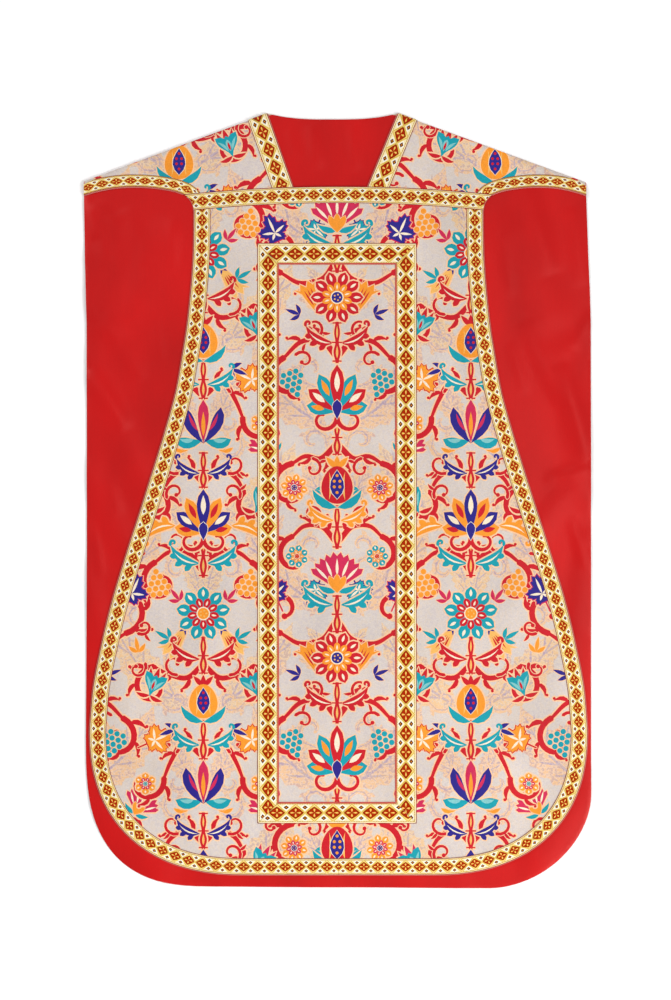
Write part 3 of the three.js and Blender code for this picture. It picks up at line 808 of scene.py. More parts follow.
def cloth(name, outline, lay, top, thick, shapes, step, materials, plain="ground", under="satin", lift=FLOAT_LIFT,
          hole=None):
    """A closed piece of cloth: its figured face, a rounded edge and a plain underside."""
    outline = ccw(outline)
    threads = [plain] + [thread for thread, _, _ in shapes]
    lifts = np.array([0.0] + [share for _, _, share in shapes]) * lift
    loose = np.concatenate([grown(outline, -EDGE_ROW), grid_points(outline, step, GRID_MARGIN)])
    flat, corners, tops = triangulate(outline, [shape for _, shape, _ in shapes], loose, hole)
    raised = np.zeros(len(flat))
    np.maximum.at(raised, corners.ravel(), np.repeat(lifts[tops], 3))
    rims = rims_of(corners)
    raised[np.concatenate(rims)] = -thick * EDGE_ROUNDING
    face = lay(flat, top + raised)

    edge = flat[rims[0]]
    inner = flat[rims[1]] if len(rims) > 1 else None
    spread = grid_points(edge, max(step * UNDERSIDE_COARSER, UNDERSIDE_STEP), UNDERSIDE_MARGIN)
    foot_flat, foot_corners, _ = triangulate(ccw(edge), [], spread, inner)
    foot = lay(foot_flat, np.full(len(foot_flat), top - thick))
    side = []
    for rim in rims:
        below = np.array([len(face) + np.argmin(abs(foot_flat - z)) for z in flat[rim]])
        ahead, beneath = np.roll(rim, -1), np.roll(below, -1)
        side += [np.column_stack([rim, below, beneath]), np.column_stack([rim, beneath, ahead])]
    side = np.concatenate(side)
    triangles = np.concatenate([corners, side, foot_corners[:, ::-1] + len(face)])
    points = np.concatenate([face, foot])
    a, b, c = (points[triangles[:, k]] for k in range(3))
    if (a * np.cross(b, c)).sum() < 0:
        triangles = triangles[:, ::-1]

    colours = np.array([[*linear(THREADS[thread]), figure_share(thread, plain)] for thread in threads])
    hue = np.concatenate([
        colours[tops],
        np.tile(colours[0], (len(side), 1)),
        np.tile([*linear(THREADS[under]), 0.0], (len(foot_corners), 1)),
    ])
    which = np.concatenate([np.zeros(len(corners) + len(side), int), np.ones(len(foot_corners), int)])
    return make_piece(name, points, triangles, hue, materials, which, np.concatenate([flat, foot_flat]))


def put_in_scene(name, data):
    made = bpy.data.objects.new(name, data)
    bpy.context.collection.objects.link(made)
    return made


def make_piece(name, points, triangles, hue, materials, which, weave):
    """A Blender object of coloured triangles. Millimetres become metres here."""
    mesh = bpy.data.meshes.new(name)
    mesh.from_pydata((points * MM).tolist(), [], triangles.tolist())
    colour = mesh.color_attributes.new("thread", "FLOAT_COLOR", "CORNER")
    colour.data.foreach_set("color", np.repeat(hue, 3, axis=0).astype(np.float32).ravel())
    run = weave[triangles.ravel()] * MM
    uv = mesh.uv_layers.new(name="run")
    uv.data.foreach_set("uv", np.column_stack([run.real, run.imag]).astype(np.float32).ravel())
    for material in materials:
        mesh.materials.append(material)
    if len(materials) > 1:
        mesh.polygons.foreach_set("material_index", which.astype(np.int32))
    mesh.shade_smooth()
    mesh.set_sharp_from_angle(angle=SHARP_ANGLE)
    return put_in_scene(name, mesh)


# ---------------------------------------------------------------- finishes


def add_node(tree, kind, inputs=None, **settings):
    """A node with its settings made, and its inputs set or linked."""
    made = tree.nodes.new(kind)
    for key, value in settings.items():
        setattr(made, key, value)
    for key, value in (inputs or {}).items():
        if isinstance(value, bpy.types.NodeSocket):
            tree.links.new(value, made.inputs[key])
        else:
            made.inputs[key].default_value = value
    return made.outputs


class Finish:
    """A cloth's shader, built node by node. Its patterns lie on the object, or along a braid's own run."""

    def __init__(self, name, along_run=False, **settings):
        self.material = bpy.data.materials.new(name)
        self.material.use_nodes = True
        self.tree = self.material.node_tree
        self.shader = self.tree.nodes["Principled BSDF"]
        for socket, value in settings.items():
            self.shader.inputs[socket.replace("_", " ")].default_value = value
        if along_run:
            self.place = self.node("ShaderNodeUVMap", uv_map="run")[0]
        else:
            self.place = self.node("ShaderNodeTexCoord")["Object"]
        thread = self.node("ShaderNodeVertexColor", layer_name="thread")
        self.colour, self.figure = thread["Color"], thread["Alpha"]

    def node(self, kind, inputs=None, **settings):
        return add_node(self.tree, kind, inputs, **settings)

    def ranged(self, value, low, high, start=0.0, end=1.0):
        return self.node("ShaderNodeMapRange", {0: value, 1: start, 2: end, 3: low, 4: high})[0]

    def uneven(self, noise, low, high):
        """Noise, which keeps near its middle, spread over a range."""
        return self.ranged(noise, low, high, 0.3, 0.7)

    def mapped(self, **settings):
        return self.node("ShaderNodeMapping", {"Vector": self.place, **settings})[0]

    def noise(self, scale, detail, stretch=None):
        place = self.mapped(Scale=stretch) if stretch else self.place
        return self.node("ShaderNodeTexNoise", {"Vector": place, "Scale": scale, "Detail": detail})[0]

    def bands(self, scale, axis, turned=0.0):
        place = self.mapped(Rotation=(0, 0, turned)) if turned else self.place
        inputs = {"Vector": place, "Scale": scale, "Distortion": 0.6, "Detail": 1.0, "Detail Scale": 3.0}
        return self.node("ShaderNodeTexWave", inputs, bands_direction=axis)[1]

    def ramp(self, value, *stops):
        """A colour for each height of a varying value."""
        made = self.tree.nodes.new("ShaderNodeValToRGB")
        self.tree.links.new(value, made.inputs[0])
        elements = made.color_ramp.elements
        for at, _ in stops[2:]:
            elements.new(at)
        for element, (at, colour) in zip(elements, stops):
            element.position, element.color = at, (*colour, 1)
        return made.outputs[0]

    def math(self, operation, a, b):
        return self.node("ShaderNodeMath", {0: a, 1: b}, operation=operation)[0]

    def link(self, output, socket):
        self.tree.links.new(output, self.shader.inputs[socket])

    def dye(self, colour, *tones):
        """The colour of the cloth, multiplied by each of the varying tones."""
        tone, *others = tones
        for other in others:
            tone = self.math("MULTIPLY", tone, other)
        shaded = self.node("ShaderNodeVectorMath", {0: colour, "Scale": tone}, operation="SCALE")
        self.link(shaded[0], "Base Color")

    def bump(self, height, strength, distance):
        made = self.node("ShaderNodeBump", {"Height": height, "Strength": strength, "Distance": distance})
        self.link(made[0], "Normal")


def brocade_finish():
    """Silk brocade: matt ribbed ground, flecked damask, and smoother figure threads that lie over them."""
    f = Finish("brocade", Sheen_Weight=0.03, Sheen_Roughness=0.45, Specular_IOR_Level=0.2)
    clouds, streaks, grain = f.noise(15, 2, (1, 0.6, 1)), f.noise(210, 2, (1, 9, 1)), f.noise(760, 1)
    damask = f.math("MULTIPLY", f.math("PINGPONG", f.figure, 0.5), 2.0)
    zones = f.math("MULTIPLY", f.math("SUBTRACT", f.noise(9, 1), 0.5), 0.3)
    speckle = f.ramp(
        f.math("ADD", f.noise(300, 1), zones),
        (0.41, (0.8, 0.72, 0.82)), (0.45, (0.98, 0.95, 0.96)), (0.52, (1.03, 1.0, 0.96)), (0.56, (1.02, 0.87, 0.69)),
    )
    share = f.ranged(damask, 0.3, 1.0)
    flecks = f.node("ShaderNodeMix", {0: share, 6: (1, 1, 1, 1), 7: speckle}, data_type="RGBA")[2]
    mixed = f.node("ShaderNodeVectorMath", {0: f.colour, 1: flecks}, operation="MULTIPLY")[0]
    f.dye(mixed, f.uneven(clouds, 0.92, 1.07), f.uneven(streaks, 0.95, 1.05), f.uneven(grain, 0.93, 1.07))
    f.link(f.ranged(f.figure, 0.62, 0.46), "Roughness")
    weave = f.node("ShaderNodeMix", {0: f.figure, 2: f.bands(330, "Y"), 3: f.bands(420, "X", 0.9)})[0]
    f.bump(f.math("ADD", weave, f.math("MULTIPLY", grain, 0.6)), 0.35, 0.00012)
    return f.material


def satin_finish():
    """Crimson satin: smooth, with a soft shine and faint upright slubs, and broad lighter and darker patches painted
    into its colour as the light and shade of soft folds and sheen.
    """
    f = Finish("lining_satin", Roughness=0.36, Sheen_Weight=0.02, Specular_IOR_Level=0.5,
               Specular_Tint=(1, 0.33, 0.3, 1))
    # clouds: painted light and shade, broad patches that brighten and darken the satin's colour in place of the shine
    # and shade of its folds
    slubs, clouds, grain = f.noise(420, 2, (1, 0.07, 1)), f.noise(11, 2, (1, 0.5, 1)), f.noise(900, 1)
    f.dye(f.colour, f.uneven(slubs, 0.985, 1.015), f.uneven(clouds, 0.86, 1.12), f.uneven(grain, 0.96, 1.04))
    f.bump(f.math("ADD", slubs, f.bands(520, "X")), 0.2, 0.00006)
    return f.material


def galloon_finish():
    """Woven braid: fine ribs across its run, with some glint of metal thread."""
    f = Finish("galloon", along_run=True, Metallic=0.1, Sheen_Weight=0.01, Sheen_Roughness=0.4,
               Specular_IOR_Level=0.22, Specular_Tint=(1, 0.55, 0.16, 1))
    ribs, grain, wear = f.bands(300, "X"), f.noise(900, 2, (1, 2.2, 1)), f.noise(46, 2)
    f.dye(f.colour, f.ranged(ribs, 0.9, 1.04), f.uneven(grain, 0.92, 1.07), f.uneven(wear, 0.96, 1.04))
    f.link(f.ranged(ribs, 0.52, 0.4), "Roughness")
    f.bump(f.math("ADD", ribs, f.math("MULTIPLY", grain, 0.5)), 0.4, 0.00016)
    return f.material


def thread_finish():
    """Twisted gold thread, for the raised flowers of the braid and the topstitching."""
    f = Finish("gold_thread", Roughness=0.42, Metallic=0.1, Specular_IOR_Level=0.35, Specular_Tint=(1, 0.7, 0.3, 1))
    twist = f.noise(1500, 2)
    f.dye(f.colour, f.uneven(twist, 0.86, 1.1))
    f.bump(twist, 0.4, 0.00012)
    return f.material


BROCADE, SATIN, GALLOON, GOLD_THREAD = brocade_finish(), satin_finish(), galloon_finish(), thread_finish()

# ---------------------------------------------------------------- panels and lining


def back_outline(inset=0.0):
    """The back panel's outline, moved in from the two shoulder lines."""
    halves = []
    for name, side in SHOULDERS.items():
        tip, neck = side["tip"], side["neck"]
        drop = inset * abs(neck - tip) / abs((neck - tip).real) * 1j
        flank = resample(np.array([tip - drop, *BACK_SIDE[name]]), SIDE_STEP)
        turn = corner(side["sign"], flank[-1], *BACK_CORNER[name])
        line = resample(np.array([neck - drop, tip - drop]), SHOULDER_LINE_STEP)
        halves.append(np.concatenate([line, flank[1:], turn[1:]]))
    left, right = halves
    share = np.linspace(0.04, 0.96, 20)
    neckline = right[0].real + (left[0].real - right[0].real) * share
    neckline = neckline + 1j * (NECK_Y - BACK_NECK_DIP * (1 - abs(2 * share - 1) ** 3))
    hem = resample(np.array([left[-1], right[-1]]), HEM_STEP)[1:-1]
    return np.concatenate([left, hem, right[::-1], neckline])


def edge_curve(side, inset=0.0):
    """The front's edge, from the shoulder tip along the armhole, down and round to the middle of the hem."""
    edge = np.concatenate([armhole_curve(side)[:-1], fiddle_curve(side)])
    return moved(edge, -side["sign"] * inset)


def front_outline():
    """The front panel below the seam that the chest band covers."""
    halves = []
    for side in SHOULDERS.values():
        edge = edge_curve(side)
        halves.append(edge[edge.imag < arch(edge.real, BAND_OVER_SEAM).imag])
    left, right = halves
    seam = arch(np.linspace(right[0].real, left[0].real, 60)[1:-1], BAND_OVER_SEAM)
    return np.concatenate([left, right[::-1][1:], seam])


def shoulder_outline(side):
    """A shoulder piece, with the part that turns down over the shoulder line added beyond it."""
    tip, neck, out = side["tip"], side["neck"], outward(side)
    along = (neck - tip) / abs(neck - tip)
    beyond = (TURN_LENGTH - TURN_RADIUS) * out
    edge = edge_curve(side)
    edge = edge[: np.argmax(edge.imag < arch(edge.real, BAND_OVER_SEAM - SEAM_GAP).imag)]
    seam = arch(np.linspace(edge[-1].real, side["foot"], 22)[1:], BAND_OVER_SEAM - SEAM_GAP)
    top = tip + beyond
    top = top - along * (top.real - tip.real) / along.real
    lean = neck_x(side, NECK_Y) - neck_x(side, NECK_Y - 1) + 1j
    far = neck + lean * ((beyond / out).real / (lean * np.conj(out)).real)
    neck_edge = resample(np.array([seam[-1], neck, far]), SIDE_STEP)[1:]
    line = resample(np.array([far, top]), SIDE_STEP)[1:]
    turned = resample(np.array([top, edge[0]]), TURNED_STEP)[1:-1]
    return np.concatenate([edge, seam, neck_edge, line, turned])


# ---------------------------------------------------------------- braids

# distance between a braid's outline points, how many lie across its ends, and how closely its ends are cut
STRIP_STEP, END_POINTS, END_PRECISION = 6, 7, 0.1
# one petal of a lozenge that reaches 1 from its middle; that reach as shares of the pitch and of the braid's width;
# and the height of a raised petal
PETAL = np.array([0.1, 0.52 + 0.14j, 0.68 + 0.08j, 0.72, 0.68 - 0.08j, 0.52 - 0.14j])
PETAL_LONG, PETAL_WIDE, PETAL_HIGH = 0.4, 0.268, 0.4
# thread, reach along and across as shares of the same, and lift
KNOT = (("white", 0.27, 0.15, 0.3), ("maroon", 0.148, 0.097, 0.8), ("orange", 0.048, 0.032, 1))
LOZENGE = (("bright", 0.485, 0.33, 0.7), ("umber", 0.446, 0.29, 0.9), ("russet", 0.412, 0.266, 1))


def run_of(path):
    return np.concatenate([[0], np.cumsum(abs(np.diff(path)))])


def lengthened(path, start, end):
    """A path carried on straight past its ends."""
    first, last = path[0] - path[1], path[-1] - path[-2]
    return np.concatenate([[path[0] + first / abs(first) * start], path, [path[-1] + last / abs(last) * end]])


def beside(path, hand):
    """Turns points given as run along a path + distance beside it i into flat points."""
    run, side = run_of(path), normals(path) * hand

    def place(points):
        base = np.interp(points.real, run, path.real) + 1j * np.interp(points.real, run, path.imag)
        out = np.interp(points.real, run, side.real) + 1j * np.interp(points.real, run, side.imag)
        return base + out / abs(out) * points.imag

    return place


def strip_outline(place, length, wide, keep):
    """A strip's outline along and beside its path, with both ends cut to what the strip keeps clear of."""
    across = np.linspace(-wide / 2, wide / 2, END_POINTS)
    along = np.arange(0, length, END_PRECISION)
    starts, ends = [], []
    for t in across:
        kept = np.flatnonzero(keep(place(along + 1j * t)))
        starts.append(along[kept[0]] + 1j * t)
        ends.append(along[kept[-1]] + 1j * t)
    low = resample(np.array([starts[0], ends[0]]), STRIP_STEP)
    high = resample(np.array([ends[-1], starts[-1]]), STRIP_STEP)
    return np.concatenate([low, ends[1:-1], high, starts[-2:0:-1]])


def diamond(centre, along, across):
    return centre + np.array([along, 1j * across, -along, -1j * across])


def bar(a, b, wide):
    side = 1j * (b - a) / abs(b - a) * wide / 2
    return np.array([a + side, a - side, b - side, b + side])


def bulged(centre, along, across):
    """A diamond with slightly full sides."""
    quarter = np.array([along, 0.54 * along + 0.54j * across])
    half = np.concatenate([quarter, [1j * across, -np.conj(quarter[1])]])
    return centre + np.concatenate([half, -half])


def galloon_figures(outline, wide, pitch, first, borders):
    """The galloon's woven lozenges, one to each pitch, in a net of fine lines between two borders."""
    low, high = outline.real.min(), outline.real.max()
    figures = []
    line = resample(np.array([low - 2 + 0j, high + 2 + 0j]), STRIP_STEP)
    for hand, (border, half) in zip((-1, 1), borders):
        for share, half_line, thread in ((0.5, half, border), (0.405, 0.6, "olive")):
            at = line + 1j * hand * share * wide
            figures.append((thread, np.concatenate([at + 1j * half_line, (at - 1j * half_line)[::-1]]), 0.4))
    centres = np.arange(first - pitch * math.ceil((first - low) / pitch), high + pitch, pitch)
    for x in centres:
        c = x + 0j
        for hand in (1, -1):
            knot = c + pitch / 2 + hand * 0.25j * wide
            figures += [(thread, diamond(knot, a * pitch, b * wide), lift) for thread, a, b, lift in KNOT]
        for hand in (1, -1):
            peak, foot = c + hand * 0.4j * wide, c - hand * 0.04j * wide
            for thread, thick in (("straw", 0.074 * wide), ("olive", 0.026 * wide)):
                figures.append((thread, bar(foot - 0.56 * pitch, peak, thick), 0.6))
                figures.append((thread, bar(peak, foot + 0.56 * pitch, thick), 0.6))
        figures += [(thread, bulged(c, a * pitch, b * wide), lift) for thread, a, b, lift in LOZENGE]
        for k in range(4):
            turned = PETAL * polar(1, 90 * k)
            shape = c + turned.real * PETAL_LONG * pitch + 1j * turned.imag * PETAL_WIDE * wide
            figures.append(("bright", shape, 1))
    return figures, centres


def small_shape(name, points, faces, thread):
    """A small closed shape that is set along a braid."""
    hue = np.tile([*linear(THREADS[thread]), 1.0], (len(faces), 1))
    shape = make_piece(name, np.array(points), np.array(faces), hue, [GOLD_THREAD], None, np.zeros(len(points)))
    shape.hide_render = True
    return shape


def boss_shape(wide, pitch):
    """Four raised petals along and across a lozenge, each a ring of points under a peak."""
    points, faces = [], []
    count = len(PETAL)
    for k in range(4):
        base = len(points)
        turned = np.append(PETAL, 0.5) * polar(1, 90 * k)
        heights = [0.0] * count + [PETAL_HIGH]
        points += [(z.real * PETAL_LONG * pitch, z.imag * PETAL_WIDE * wide, high) for z, high in zip(turned, heights)]
        faces += [(base + (i + 1) % count, base + i, base + count) for i in range(count)]
        faces += [(base, base + i, base + i + 1) for i in range(1, count - 1)]
    return points, faces


def stitch_shape(long, wide, high):
    """One stitch of thread: a short bar with pointed ends."""
    points = [(-long / 2, 0, 0), (long / 2, 0, 0)]
    for x in (-long / 3, long / 3):
        points += [(x, wide / 2, 0), (x, 0, high), (x, -wide / 2, 0), (x, 0, -high * 0.4)]
    faces = []
    for k in range(4):
        n = (k + 1) % 4
        faces += [(0, 2 + n, 2 + k), (1, 6 + k, 6 + n), (2 + k, 2 + n, 6 + n), (2 + k, 6 + n, 6 + k)]
    return points, faces


def along_path_tree():
    """Geometry nodes that set a small shape along a path: at each of its points, or evenly spaced."""
    tree = bpy.data.node_groups.new("set_along_path", "GeometryNodeTree")
    sockets = (("Path", "Geometry"), ("Shape", "Object"), ("Even", "Bool"), ("Spacing", "Float"),
               ("Unevenness", "Float"), ("Seed", "Int"), ("Thread", "Material"))
    for name, kind in sockets:
        tree.interface.new_socket(name, in_out="INPUT", socket_type="NodeSocket" + kind)
    tree.interface.new_socket("Geometry", in_out="OUTPUT", socket_type="NodeSocketGeometry")

    def node(kind, inputs, **settings):
        return add_node(tree, kind, inputs, **settings)

    given = tree.nodes.new("NodeGroupInput").outputs
    curve = node("GeometryNodeMeshToCurve", {"Mesh": given["Path"]})[0]
    even = node("GeometryNodeResampleCurve", {"Curve": curve, "Length": given["Spacing"]}, mode="LENGTH")[0]
    chosen = node("GeometryNodeSwitch", {0: given["Even"], 1: curve, 2: even}, input_type="GEOMETRY")[0]
    points = node("GeometryNodeCurveToPoints", {"Curve": chosen}, mode="EVALUATED")
    turned = node("FunctionNodeAlignRotationToVector", {"Vector": points["Tangent"]}, axis="X", pivot_axis="Z")[0]
    least = node("ShaderNodeMath", {0: 1.0, 1: given["Unevenness"]}, operation="SUBTRACT")[0]
    chance = node("FunctionNodeRandomValue", {2: least, 3: 1.0, "Seed": given["Seed"]}, data_type="FLOAT")[1]
    shape = node("GeometryNodeObjectInfo", {"Object": given["Shape"]})["Geometry"]
    placed = node(
        "GeometryNodeInstanceOnPoints",
        {"Points": points["Points"], "Instance": shape, "Rotation": turned, "Scale": chance},
    )[0]
    whole = node("GeometryNodeRealizeInstances", {0: placed})[0]
    finished = node("GeometryNodeSetMaterial", {"Geometry": whole, "Material": given["Thread"]})[0]
    tree.links.new(finished, tree.nodes.new("NodeGroupOutput").inputs[0])
    return tree


SET_ALONG_PATH = along_path_tree()


def set_along(name, paths, shape, lay, height, spacing=0.0, unevenness=0.0, seed=1):
    """A piece made of one small shape set along flat paths, then laid on the cloth at a height."""
    flat, edges = [], []
    for path in paths:
        edges += [(len(flat) + i, len(flat) + i + 1) for i in range(len(path) - 1)]
        flat += [(z.real * MM, z.imag * MM, 0.0) for z in path]
    lines = bpy.data.meshes.new(name)
    lines.from_pydata(flat, edges, [])
    carrier = put_in_scene(name + "_path", lines)
    setter = carrier.modifiers.new("set_along_path", "NODES")
    setter.node_group = SET_ALONG_PATH
    values = {"Shape": shape, "Even": spacing > 0, "Spacing": max(spacing, 1.0) * MM, "Unevenness": unevenness,
              "Seed": seed, "Thread": GOLD_THREAD}
    for socket in SET_ALONG_PATH.interface.items_tree:
        if socket.in_out == "INPUT" and socket.name in values:
            setter[socket.identifier] = values[socket.name]
    carrier.update_tag()
    mesh = bpy.data.meshes.new_from_object(carrier.evaluated_get(bpy.context.evaluated_depsgraph_get()))
    mesh.name = name
    bpy.data.objects.remove(carrier)
    bpy.data.meshes.remove(lines)
    places = np.empty(len(mesh.vertices) * 3)
    mesh.vertices.foreach_get("co", places)
    places = places.reshape(-1, 3) / MM
    laid = lay(places[:, 0] + 1j * places[:, 1], height + places[:, 2])
    mesh.vertices.foreach_set("co", (laid * MM).ravel())
    mesh.shade_smooth()
    return put_in_scene(name, mesh)


# ---------------------------------------------------------------- the garment's panels

UNIT = brocade_unit()
UNIT_SHIFT = FIDDLE_CENTRE - 2 + 96j
# how the shoulders' design is shifted from the front's, outwards and up
SHOULDER_SHIFT = (34, 250j)
PLAINER_UNIT = [row for row in UNIT if row[2] == 1]
HAIR_GAP = 0.05
EDGE_TURNING = 1.3
TURNING_POINTS = 10
PANEL_STEP, SHOULDER_STEP, LINING_STEP, BRAID_STEP = 12, 8, 5, 5

sheets = []


def column_line(inset):
    """The line under the middle of the column's braid, where its brocade meets the sides'."""
    in_by = COLUMN_BRAID / 2 + inset
    low, high = COLUMN["left"] + in_by, COLUMN["right"] - in_by
    foot, top = (COLUMN["foot"] + in_by) * 1j, (COLUMN["top"] - in_by) * 1j
    return resample(np.array([low + foot, high + foot, high + top, low + top, low + foot]), PANEL_STEP)[:-1]


def edge_turning(outline):
    """The narrow turning that shows outside the braid, in the lining's colour faded by the brocade."""
    outline = ccw(outline)
    inner = grown(outline, -EDGE_TURNING)
    rows = []
    for i in range(0, len(outline), TURNING_POINTS):
        span = np.arange(i, i + TURNING_POINTS + 1) % len(outline)
        rows.append(("faded", np.concatenate([outline[span], inner[span][::-1]]), 0))
    return rows


def area_of(outline):
    return abs((np.conj(outline) * np.roll(outline, -1)).imag.sum()) / 2


def keep_sheet(node, piece, outline, rests_on, trims=(), less=None):
    """Notes a piece of cloth with its node and its cut size."""
    area = area_of(outline) - (0 if less is None else area_of(less))
    size = (np.ptp(outline.real) * MM, np.ptp(outline.imag) * MM)
    sheets.append((piece, node, size, area * MM**2, rests_on, list(trims)))


def face_down(points, height):
    return np.column_stack([points.real, points.imag, back_rise(points) + BACK_THICK - height])


front_lay = flat_lay(front_rise)

outline = back_outline()
back = cloth(
    "back_panel_cloth", outline, face_down, BACK_THICK, BACK_THICK,
    repeat(PLAINER_UNIT, outline, UNIT_SHIFT), PANEL_STEP, [BROCADE], under="sand", lift=0,
)
keep_sheet("back_panel", back, outline, "floor")

outline = back_outline(TURN_RADIUS)
lining = cloth(
    "back_lining_cloth", outline, flat_lay(lining_rise), LINING_Z + LINING_THICK, LINING_THICK,
    [], LINING_STEP, [SATIN], plain="satin",
)
keep_sheet("back_lining", lining, outline, "back_panel_cloth")

outline, opening = front_outline(), column_line(0)
figures = repeat(UNIT, outline, UNIT_SHIFT, EDGE_BRAID, grown(opening, COLUMN_BRAID / 2)) + edge_turning(outline)
front = cloth(
    "front_panel_cloth", outline, front_lay, FRONT_TOP, FRONT_THICK, figures, PANEL_STEP, [BROCADE, SATIN],
    hole=opening,
)
keep_sheet("front_panel", front, outline, "back_lining_cloth", less=opening)

outline = column_line(HAIR_GAP)
column = cloth(
    "column_panel_cloth", outline, front_lay, FRONT_TOP, FRONT_THICK,
    repeat(UNIT, outline, UNIT_SHIFT, COLUMN_BRAID / 2), PANEL_STEP, [BROCADE, SATIN],
)
keep_sheet("front_panel", column, outline, "back_lining_cloth")

for name, side in SHOULDERS.items():
    outline = shoulder_outline(side)
    shift = UNIT_SHIFT + side["sign"] * SHOULDER_SHIFT[0] + SHOULDER_SHIFT[1]
    shoulder = cloth(
        f"shoulder_{name}_cloth", outline, turned_lay, FRONT_TOP, FRONT_THICK,
        repeat(UNIT, outline, shift) + edge_turning(outline), SHOULDER_STEP, [BROCADE, SATIN],
    )
    keep_sheet("shoulder_" + name, shoulder, outline, "back_lining_cloth")

# ---------------------------------------------------------------- the garment's braids

NARROW_PITCH, ARMHOLE_PITCH, WIDE_PITCH = 19.44, 20.1, 26.2
BRAID_LIFT = 0.1
FLOWER_LIFT, STITCH_LIFT = 0.05, 0.02
FLOWER_CLEAR, STITCH_CLEAR = 0.2, 1.4
STITCH_IN, STITCH_SPACING, STITCH_UNEVENNESS, STITCH_ROW_STEP = 2.9, 3.4, 0.16, 3.0
# a border's thread and half width
FINE, BOLD = ("mauve", 0.9), ("rose", 2.2)
# where the first flowers lie: along their braids' own middle lines, or for the front's edges up the fiddle
BAND_FLOWER, NECK_FLOWER, FLANK_FLOWER_Y = 293.8, 101.1, 392.3
ARMHOLE_FLOWER = {"left": 29.4, "right": 24.5}
COLUMN_FLOWER = {"left": 22.4, "top": 26.5, "right": 30.2, "foot": 38.1}

bosses = {
    name: small_shape("boss_" + name, *boss_shape(wide, pitch), "bright")
    for name, wide, pitch in (
        ("narrow", EDGE_BRAID, NARROW_PITCH),
        ("armhole", ARMHOLE_BRAID, ARMHOLE_PITCH),
        ("wide", COLUMN_BRAID, WIDE_PITCH),
    )
}
stitch = small_shape("stitch", *stitch_shape(2.5, 0.5, 0.25), "cream")


def braid(node, path, hand, inset, wide, pitch, first, keep, lay, boss, rests_on, borders=(FINE, FINE)):
    """A length of galloon beside a path, with its raised flowers and two rows of stitches. Its first flower is
    that far along its own middle line."""
    path = moved(path, hand * (inset + wide / 2))
    place = beside(path, hand)
    outline = strip_outline(place, run_of(path)[-1], wide, keep)
    figures, centres = galloon_figures(outline, wide, pitch, first, borders)

    def laid(points, height):
        return lay(place(points), height)

    woven = cloth(node + "_cloth", outline, laid, BRAID_TOP, BRAID_THICK, figures, BRAID_STEP, [GALLOON],
                  plain="braid", under="braid", lift=BRAID_LIFT)
    spots = centres[inside(centres + 0j, grown(outline, -FLOWER_CLEAR * wide))] + 0j
    flowers = set_along(node + "_flowers", [place(spots)], bosses[boss], lay, BRAID_TOP + FLOWER_LIFT)
    along = np.arange(outline.real.min(), outline.real.max(), STITCH_ROW_STEP)
    rows = [along + 1j * across for across in (STITCH_IN - wide / 2, wide / 2 - STITCH_IN)]
    rows = [place(row[inside(row, grown(outline, -STITCH_CLEAR))]) for row in rows]
    seams = set_along(node + "_stitches", rows, stitch, lay, BRAID_TOP + STITCH_LIFT, STITCH_SPACING,
                      STITCH_UNEVENNESS, seed=len(sheets))
    keep_sheet(node, woven, outline, rests_on, (flowers, seams))


edges = {name: edge_curve(side, BRAID_INSET) for name, side in SHOULDERS.items()}
within = np.concatenate([edges["left"], edges["right"][::-1], [350 + 600j, -355 + 600j]])
braid("band_braid", arch(np.linspace(-250, 250, 101)), -1, 0, EDGE_BRAID, NARROW_PITCH, BAND_FLOWER,
      lambda z: inside(z, within), front_lay, "narrow", "front_panel_cloth")
for name, side in SHOULDERS.items():
    sign, tip, under = side["sign"], side["tip"], f"shoulder_{name}_cloth"
    path = lengthened(edge_curve(side), 20, 20)
    middle = moved(path, -sign * (BRAID_INSET + EDGE_BRAID / 2))
    flower = run_of(middle)[np.argmax((middle.imag < FLANK_FLOWER_Y) & (abs(middle.real) < 240))]
    braid(f"edge_braid_{name}", path, -sign, BRAID_INSET, EDGE_BRAID, NARROW_PITCH, flower,
          lambda z: (z.imag < arch(z.real, EDGE_BRAID + SEAM_GAP).imag)
          & (sign * (z.real - FIDDLE_CENTRE) > SEAM_GAP / 2), front_lay, "narrow", "front_panel_cloth")
    braid(f"armhole_braid_{name}", lengthened(armhole_curve(side), 20, 30), -sign, BRAID_INSET, ARMHOLE_BRAID,
          ARMHOLE_PITCH, ARMHOLE_FLOWER[name],
          lambda z: (z.imag > arch(z.real, -SEAM_GAP).imag) & (sign * z.real < sign * tip.real)
          & (past_turn(z, side) < 0), turned_lay, "armhole", under)
    path = resample(np.array([neck_x(side, y) + y * 1j for y in (400, 580)]), STRIP_STEP)
    braid(f"neck_braid_{name}", path, -sign, BRAID_INSET, NECK_BRAID, WIDE_PITCH, NECK_FLOWER,
          lambda z: (z.imag > arch(z.real, -SEAM_GAP).imag) & (past_turn(z, side) < TURN_LENGTH),
          turned_lay, "wide", under)

mitre = SEAM_GAP * math.sqrt(0.5)
turns = (("left", "foot"), ("left", "top"), ("right", "top"), ("right", "foot"))
corners = [COLUMN[x] + 1j * COLUMN[y] for x, y in turns]
for (name, first), start, end in zip(COLUMN_FLOWER.items(), corners, corners[1:] + corners[:1]):
    length = abs(end - start)
    ahead = (end - start) / length

    def within_mitres(z):
        along, across = ((z - start) * np.conj(ahead)).real, ((z - start) * np.conj(-1j * ahead)).real
        return (along > across + mitre) & (along < length - across - mitre)

    braid(f"column_braid_{name}", resample(np.array([start, end]), STRIP_STEP), -1, 0, COLUMN_BRAID, WIDE_PITCH, first,
          within_mitres, front_lay, "wide", "front_panel_cloth", (FINE, BOLD))

for shape in [*bosses.values(), stitch]:
    bpy.data.objects.remove(shape)

# ---------------------------------------------------------------- what each piece stands for

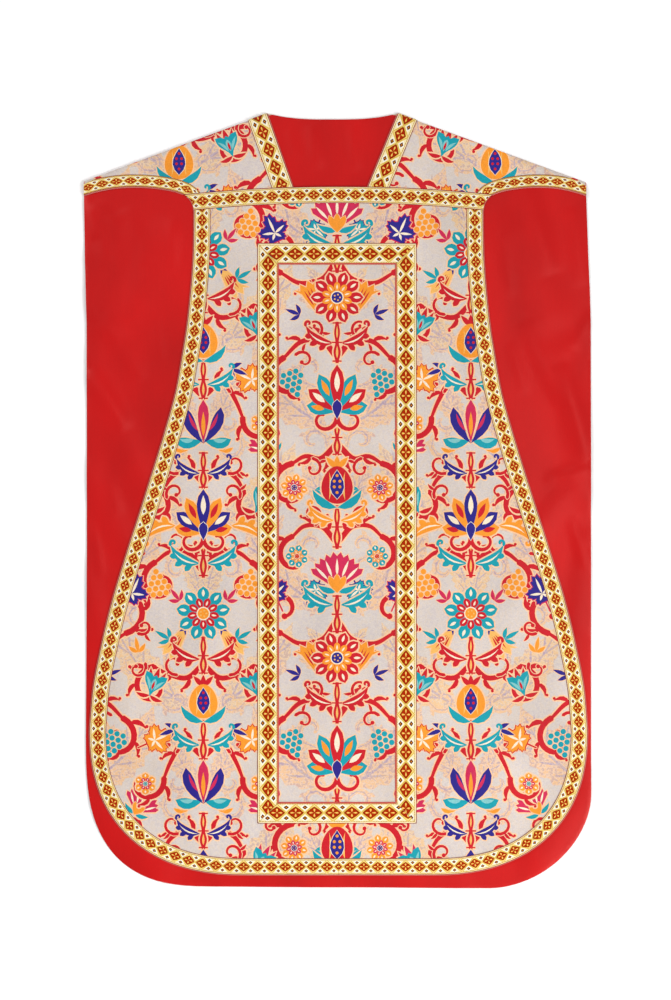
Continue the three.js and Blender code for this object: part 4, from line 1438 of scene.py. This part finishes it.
for piece, node, size, area, rests_on, trims in sheets:
    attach(piece, "root")
    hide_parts(node)
    for trim in trims:
        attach(trim, "root")

# ---------------------------------------------------------------- floor, light and camera

FLOOR_REACH, FLOOR_DROP = 40.0, 0.0002
FLOOR_COLOUR, FLOOR_ROUGHNESS = (0.9, 0.9, 0.9, 1), 0.9
# where each lamp hangs, its width and its power
LAMPS = {
    "key": ((2.4, -1.6, 3.0), 1.4, 95),
    "gloss": ((0.8, -0.12, 3.1), 0.8, 10),
    "low": ((0.1, -1.0, 0.5), 0.6, 2.1),
    "fill": ((-2.4, 2.2, 3.2), 2.6, 91),
}
ROOM_COLOUR, ROOM_STRENGTH = (1, 1, 1, 1), 0.42
CAMERA_AT, CAMERA_LENS, CAMERA_SENSOR = (-0.0028, 0.0007, 3.889), 100, 36

bpy.ops.mesh.primitive_plane_add(size=FLOOR_REACH, location=(0, 0, -FLOOR_DROP))
floor = bpy.context.object
floor.name = "floor"
pale = bpy.data.materials.new("pale_floor")
pale.use_nodes = True
pale.node_tree.nodes["Principled BSDF"].inputs["Base Color"].default_value = FLOOR_COLOUR
pale.node_tree.nodes["Principled BSDF"].inputs["Roughness"].default_value = FLOOR_ROUGHNESS
floor.data.materials.append(pale)

# Large soft lamps, all aimed at the middle of the garment.
for name, (at, width, power) in LAMPS.items():
    lamp = bpy.data.lights.new(name, "AREA")
    lamp.shape = "SQUARE"
    lamp.size, lamp.energy = width, power
    holder = put_in_scene(name, lamp)
    holder.location = at
    holder.rotation_euler = (-Vector(at)).to_track_quat("-Z", "Y").to_euler()

world = bpy.data.worlds.new("studio")
world.use_nodes = True
world.node_tree.nodes["Background"].inputs["Color"].default_value = ROOM_COLOUR
world.node_tree.nodes["Background"].inputs["Strength"].default_value = ROOM_STRENGTH
bpy.context.scene.world = world

lens = bpy.data.cameras.new("camera")
lens.lens, lens.sensor_width = CAMERA_LENS, CAMERA_SENSOR
camera = put_in_scene("camera", lens)
camera.location = CAMERA_AT
bpy.context.scene.camera = camera
bpy.context.scene.view_settings.view_transform = "Standard"
